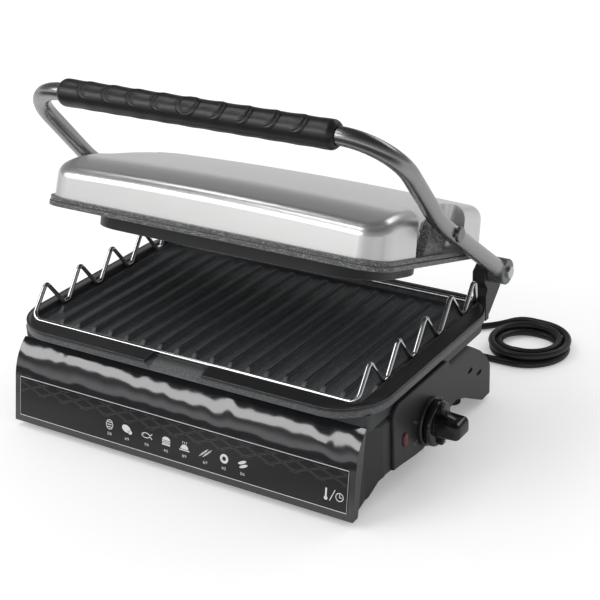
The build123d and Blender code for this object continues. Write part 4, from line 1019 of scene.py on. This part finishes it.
def thermometer_and_clock(sheet, x, y):
    bar(sheet, x - 6.4, y + 1.0, 1.6, 8.0)
    disc(sheet, x - 6.4, y - 3.6, 3.4, 3.4)
    bar(sheet, x - 0.6, y, 0.7, 11.0, turn=-24)
    loop(sheet, x + 6.0, y, 7.4, 7.4, 0.7)
    bar(sheet, x + 6.0, y + 1.1, 0.7, 2.8)
    bar(sheet, x + 7.0, y - 0.2, 2.4, 0.7)


# %% [markdown]
# The signs stand at uneven steps, as on the real label. Their numbers are plain minutes for two settings.
# The label's four border lines are part of the same ink.

# %% Print the label
SIGNS = [
    (sliced_bread, -67.4, "5/8"), (cutlet, -48.4, "6/9"), (fish, -27.3, "7/9"), (bun, -6.9, "4/6"),
    (roast, 12.1, "8/9"), (two_sticks, 33.5, "6/7"), (rings, 52.2, "4/5"), (sausages, 70.6, "5/6"),
]
SIGN_DOWN = 21.0
NUMBER_DOWN = 29.5
NUMBER_SIZE = 3.6
CLOCK_X = 156.0
CLOCK_DOWN = 24.4
BORDER_LINE = 0.55
SIDE_LINE = 0.25
SIDE_INSET = 0.6
BORDER_SHORTER = 1.0


def label_print():
    """All the ink on the label, raised and laid in place."""
    sheet = bmesh.new()
    for draw, x, numbers in SIGNS:
        draw(sheet, x, -SIGN_DOWN)
        words(sheet, numbers, x, -NUMBER_DOWN, NUMBER_SIZE)
    thermometer_and_clock(sheet, CLOCK_X, -CLOCK_DOWN)
    label_width = (label_high.x - label_low.x) / MM
    label_height = (label_high.z - label_low.z) / math.cos(LABEL_LEAN) / MM
    for down in (BORDER_LINE, label_height - BORDER_LINE):
        bar(sheet, 0.0, -down, label_width - BORDER_SHORTER, BORDER_LINE)
    for side in (-1, 1):
        line_x = side * (label_width / 2 - SIDE_INSET)
        bar(sheet, line_x, -label_height / 2, SIDE_LINE, label_height - BORDER_SHORTER)
    raise_ink(sheet, LABEL_PLACE)
    return sheet


white_ink = plastic("white ink", (0.72, 0.72, 0.72), 0.45, grain=2000.0, depth=0.004 * MM, edge=0.1 * MM)
print_piece = make_piece("label_print", label_print(), white_ink, "base", smooth=False)
print("label print faces", len(print_piece.data.polygons))

# %% [markdown]
# ## The thermostat's scale
# Round the knob stand plain figures and ticks, so that the knob has something to point at. They lie on the
# flat face of the control pod.

# %% Scale
pod_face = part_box("control_cover")[1].x
bezel_low, bezel_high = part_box("knob_bezel")
FIGURES = 6
FIGURE_SIZE = 3.4
FIGURE_SHARE = 1.12
TICK_SHARE = 0.96
TICK_LONG = 1.8
TICK_WIDE = 0.5
SCALE_GAP = 2.6
SCALE_RADIUS = (bezel_high.z - bezel_low.z) / 2 / MM + SCALE_GAP
SCALE_START = 22.5
SCALE_STEP = 45.0


def knob_scale():
    """Ticks and figures round the knob, in a plane that faces right."""
    sheet = bmesh.new()
    for index in range(FIGURES):
        angle = math.radians(SCALE_START - index * SCALE_STEP)
        x = SCALE_RADIUS * math.cos(angle)
        y = SCALE_RADIUS * math.sin(angle)
        bar(sheet, x * TICK_SHARE, y * TICK_SHARE, TICK_LONG, TICK_WIDE, turn=math.degrees(angle))
        words(sheet, str(index), x * FIGURE_SHARE, y * FIGURE_SHARE, FIGURE_SIZE)
    centre = Vector((pod_face, (bezel_low.y + bezel_high.y) / 2, (bezel_low.z + bezel_high.z) / 2))
    facing_right = Matrix(((0, 0, 1, 0), (1, 0, 0, 0), (0, 1, 0, 0), (0, 0, 0, 1)))
    raise_ink(sheet, Matrix.Translation(centre) @ facing_right)
    return sheet


grey_ink = plastic("grey ink", (0.30, 0.30, 0.30), 0.5, grain=2000.0, depth=0.004 * MM, edge=0.1 * MM)
make_piece("knob_scale", knob_scale(), grey_ink, "base", smooth=False)

# %% [markdown]
# ## Floor and light
# The grill stands on a white table that runs on to the horizon. Its colour is an honest pale grey, so it
# holds the shadow, and a small glow for the camera alone lifts the unshaded part to white. The glow grows
# with distance, so that low views end in white too. Only the table near the grill is lit in the
# photograph: further out it falls off into the dark of the room, and the glossy label shows that as a
# light lower and a dark upper half. So mirrored rays see the floor darken some way in front, along a
# ragged line.


# %% Floor
TABLE_PALE = (0.84, 0.84, 0.84)
TABLE_UNLIT = (0.05, 0.05, 0.055)
TABLE_RADIUS = 12.0
UNLIT_FROM = 0.34
UNLIT_FULL = 0.50
UNLIT_RAGGED = 0.3
GLOW_RANGE = (("From Min", 0.6), ("From Max", 2.5), ("To Min", 0.26), ("To Max", 0.50))


def table_top():
    """Pale floor that keeps its shadow; white to the camera, darker far in front in reflections."""
    material, tree, shader = new_material("table top", TABLE_PALE, 0.7)
    rays = add_node(tree, "ShaderNodeLightPath").outputs
    place = own_place(tree)
    uneven = add_node(tree, "ShaderNodeTexNoise", Scale=5.0, Detail=1.0)
    join(tree, place, uneven.inputs["Vector"])
    ragged = math_node(tree, "MULTIPLY", uneven.outputs["Fac"], UNLIT_RAGGED)
    forward = math_node(tree, "SUBTRACT", ragged, split_axes(tree, place)["Y"])
    far = add_node(tree, "ShaderNodeMapRange")
    join(tree, forward, far.inputs["Value"])
    far.inputs["From Min"].default_value = UNLIT_FROM
    far.inputs["From Max"].default_value = UNLIT_FULL
    unlit = math_node(tree, "MULTIPLY", far.outputs[0], rays["Is Glossy Ray"])
    join(tree, mix_colour(tree, unlit, TABLE_PALE, TABLE_UNLIT), shader.inputs["Base Color"])
    shader.inputs["Emission Color"].default_value = (1.0, 1.0, 1.0, 1.0)
    distance = add_node(tree, "ShaderNodeVectorMath", {"operation": "LENGTH"})
    join(tree, place, distance.inputs[0])
    glow = add_node(tree, "ShaderNodeMapRange")
    join(tree, distance.outputs["Value"], glow.inputs["Value"])
    for socket, value in GLOW_RANGE:
        glow.inputs[socket].default_value = value
    seen = math_node(tree, "MULTIPLY", rays["Is Camera Ray"], glow.outputs[0])
    join(tree, seen, shader.inputs["Emission Strength"])
    return material


def floor_piece():
    """A wide disc under everything."""
    drawing = bmesh.new()
    bmesh.ops.create_circle(drawing, cap_ends=True, radius=TABLE_RADIUS, segments=64)
    mesh = bpy.data.meshes.new("floor")
    drawing.to_mesh(mesh)
    drawing.free()
    mesh.materials.append(table_top())
    floor = new_object("floor", mesh)


floor_piece()

# %% [markdown]
# A large soft lamp stands in front and to the left. The rolled top of the front cover mirrors it towards
# the camera, which makes the bright band there. A narrow one overhead draws the long lines on the tube
# and the wires, and a weak one behind parts the lid from the background.


# %% Lamps
def soft_lamp(name, place, aim, width, height, power):
    """A rectangular lamp that faces a point, its width level."""
    lamp = new_object(name, bpy.data.lights.new(name, "AREA"))
    lamp.data.shape = "RECTANGLE"
    lamp.data.size = width
    lamp.data.size_y = height
    lamp.data.energy = power
    lamp.location = place
    lamp.rotation_mode = "QUATERNION"
    lamp.rotation_quaternion = (Vector(place) - Vector(aim)).to_track_quat("Z", "Y")


soft_lamp("front left lamp", (-1.18, -1.54, 1.22), (0.0, -0.12, 0.07), 1.5, 0.62, power=12.0)
soft_lamp("overhead lamp", (-0.75, -0.35, 1.60), (0.0, -0.1, 0.06), 1.5, 0.25, power=5.0)
soft_lamp("back lamp", (0.6, 1.8, 1.6), (0.0, 0.0, 0.15), 1.6, 0.6, power=6.0)

# %% [markdown]
# The sky lights everything evenly at one plain strength, and the camera sees it white. Mirrored rays see a
# room, white near the horizon and darker the higher it goes. In front the light part reaches higher, which
# gives the lid its pale front wall, its dark band behind the shoulder and its lighter back.


# %% Sky
EVEN_LIGHT = 0.72
FRONT_RISE = 0.16
ROOM_STEPS = [(0.0, 1.0), (0.16, 0.26), (0.45, 0.18), (0.70, 0.04)]


def studio_sky():
    """Even light; white to the camera; a dark room above a white wall in reflections."""
    world = bpy.data.worlds.new("studio")
    bpy.context.scene.world = world
    world.use_nodes = True
    tree = world.node_tree
    background = tree.nodes["Background"]
    rays = add_node(tree, "ShaderNodeLightPath").outputs
    axes = split_axes(tree, add_node(tree, "ShaderNodeTexCoord").outputs["Generated"])
    front = math_node(tree, "MAXIMUM", math_node(tree, "MULTIPLY", axes["Y"], -FRONT_RISE), 0.0)
    height = math_node(tree, "SUBTRACT", axes["Z"], front)
    room = add_node(tree, "ShaderNodeValToRGB")
    join(tree, height, room.inputs[0])
    steps = room.color_ramp.elements
    while len(steps) < len(ROOM_STEPS):
        steps.new(0.5)
    for step, (place_up, level) in zip(steps, ROOM_STEPS):
        step.position = place_up
        step.color = (level, level, level, 1.0)
    mirrored = math_node(tree, "MAXIMUM", rays["Is Glossy Ray"], rays["Is Transmission Ray"])
    extra = math_node(tree, "SUBTRACT", room.outputs[0], EVEN_LIGHT)
    light = math_node(tree, "MULTIPLY_ADD", mirrored, extra, EVEN_LIGHT)
    seen = math_node(tree, "MAXIMUM", light, rays["Is Camera Ray"])
    join(tree, seen, background.inputs["Strength"])
    background.inputs["Color"].default_value = (1.0, 1.0, 1.0, 1.0)


studio_sky()

# %% [markdown]
# ## Finish
# Every imported piece should have a finish by now. Any that is neither dressed nor hidden is printed.

# %% Finish
hidden = {name for name, piece in NODES.items() if piece.hide_render}
print("without a finish:", sorted(set(NODES) - dressed - hidden))
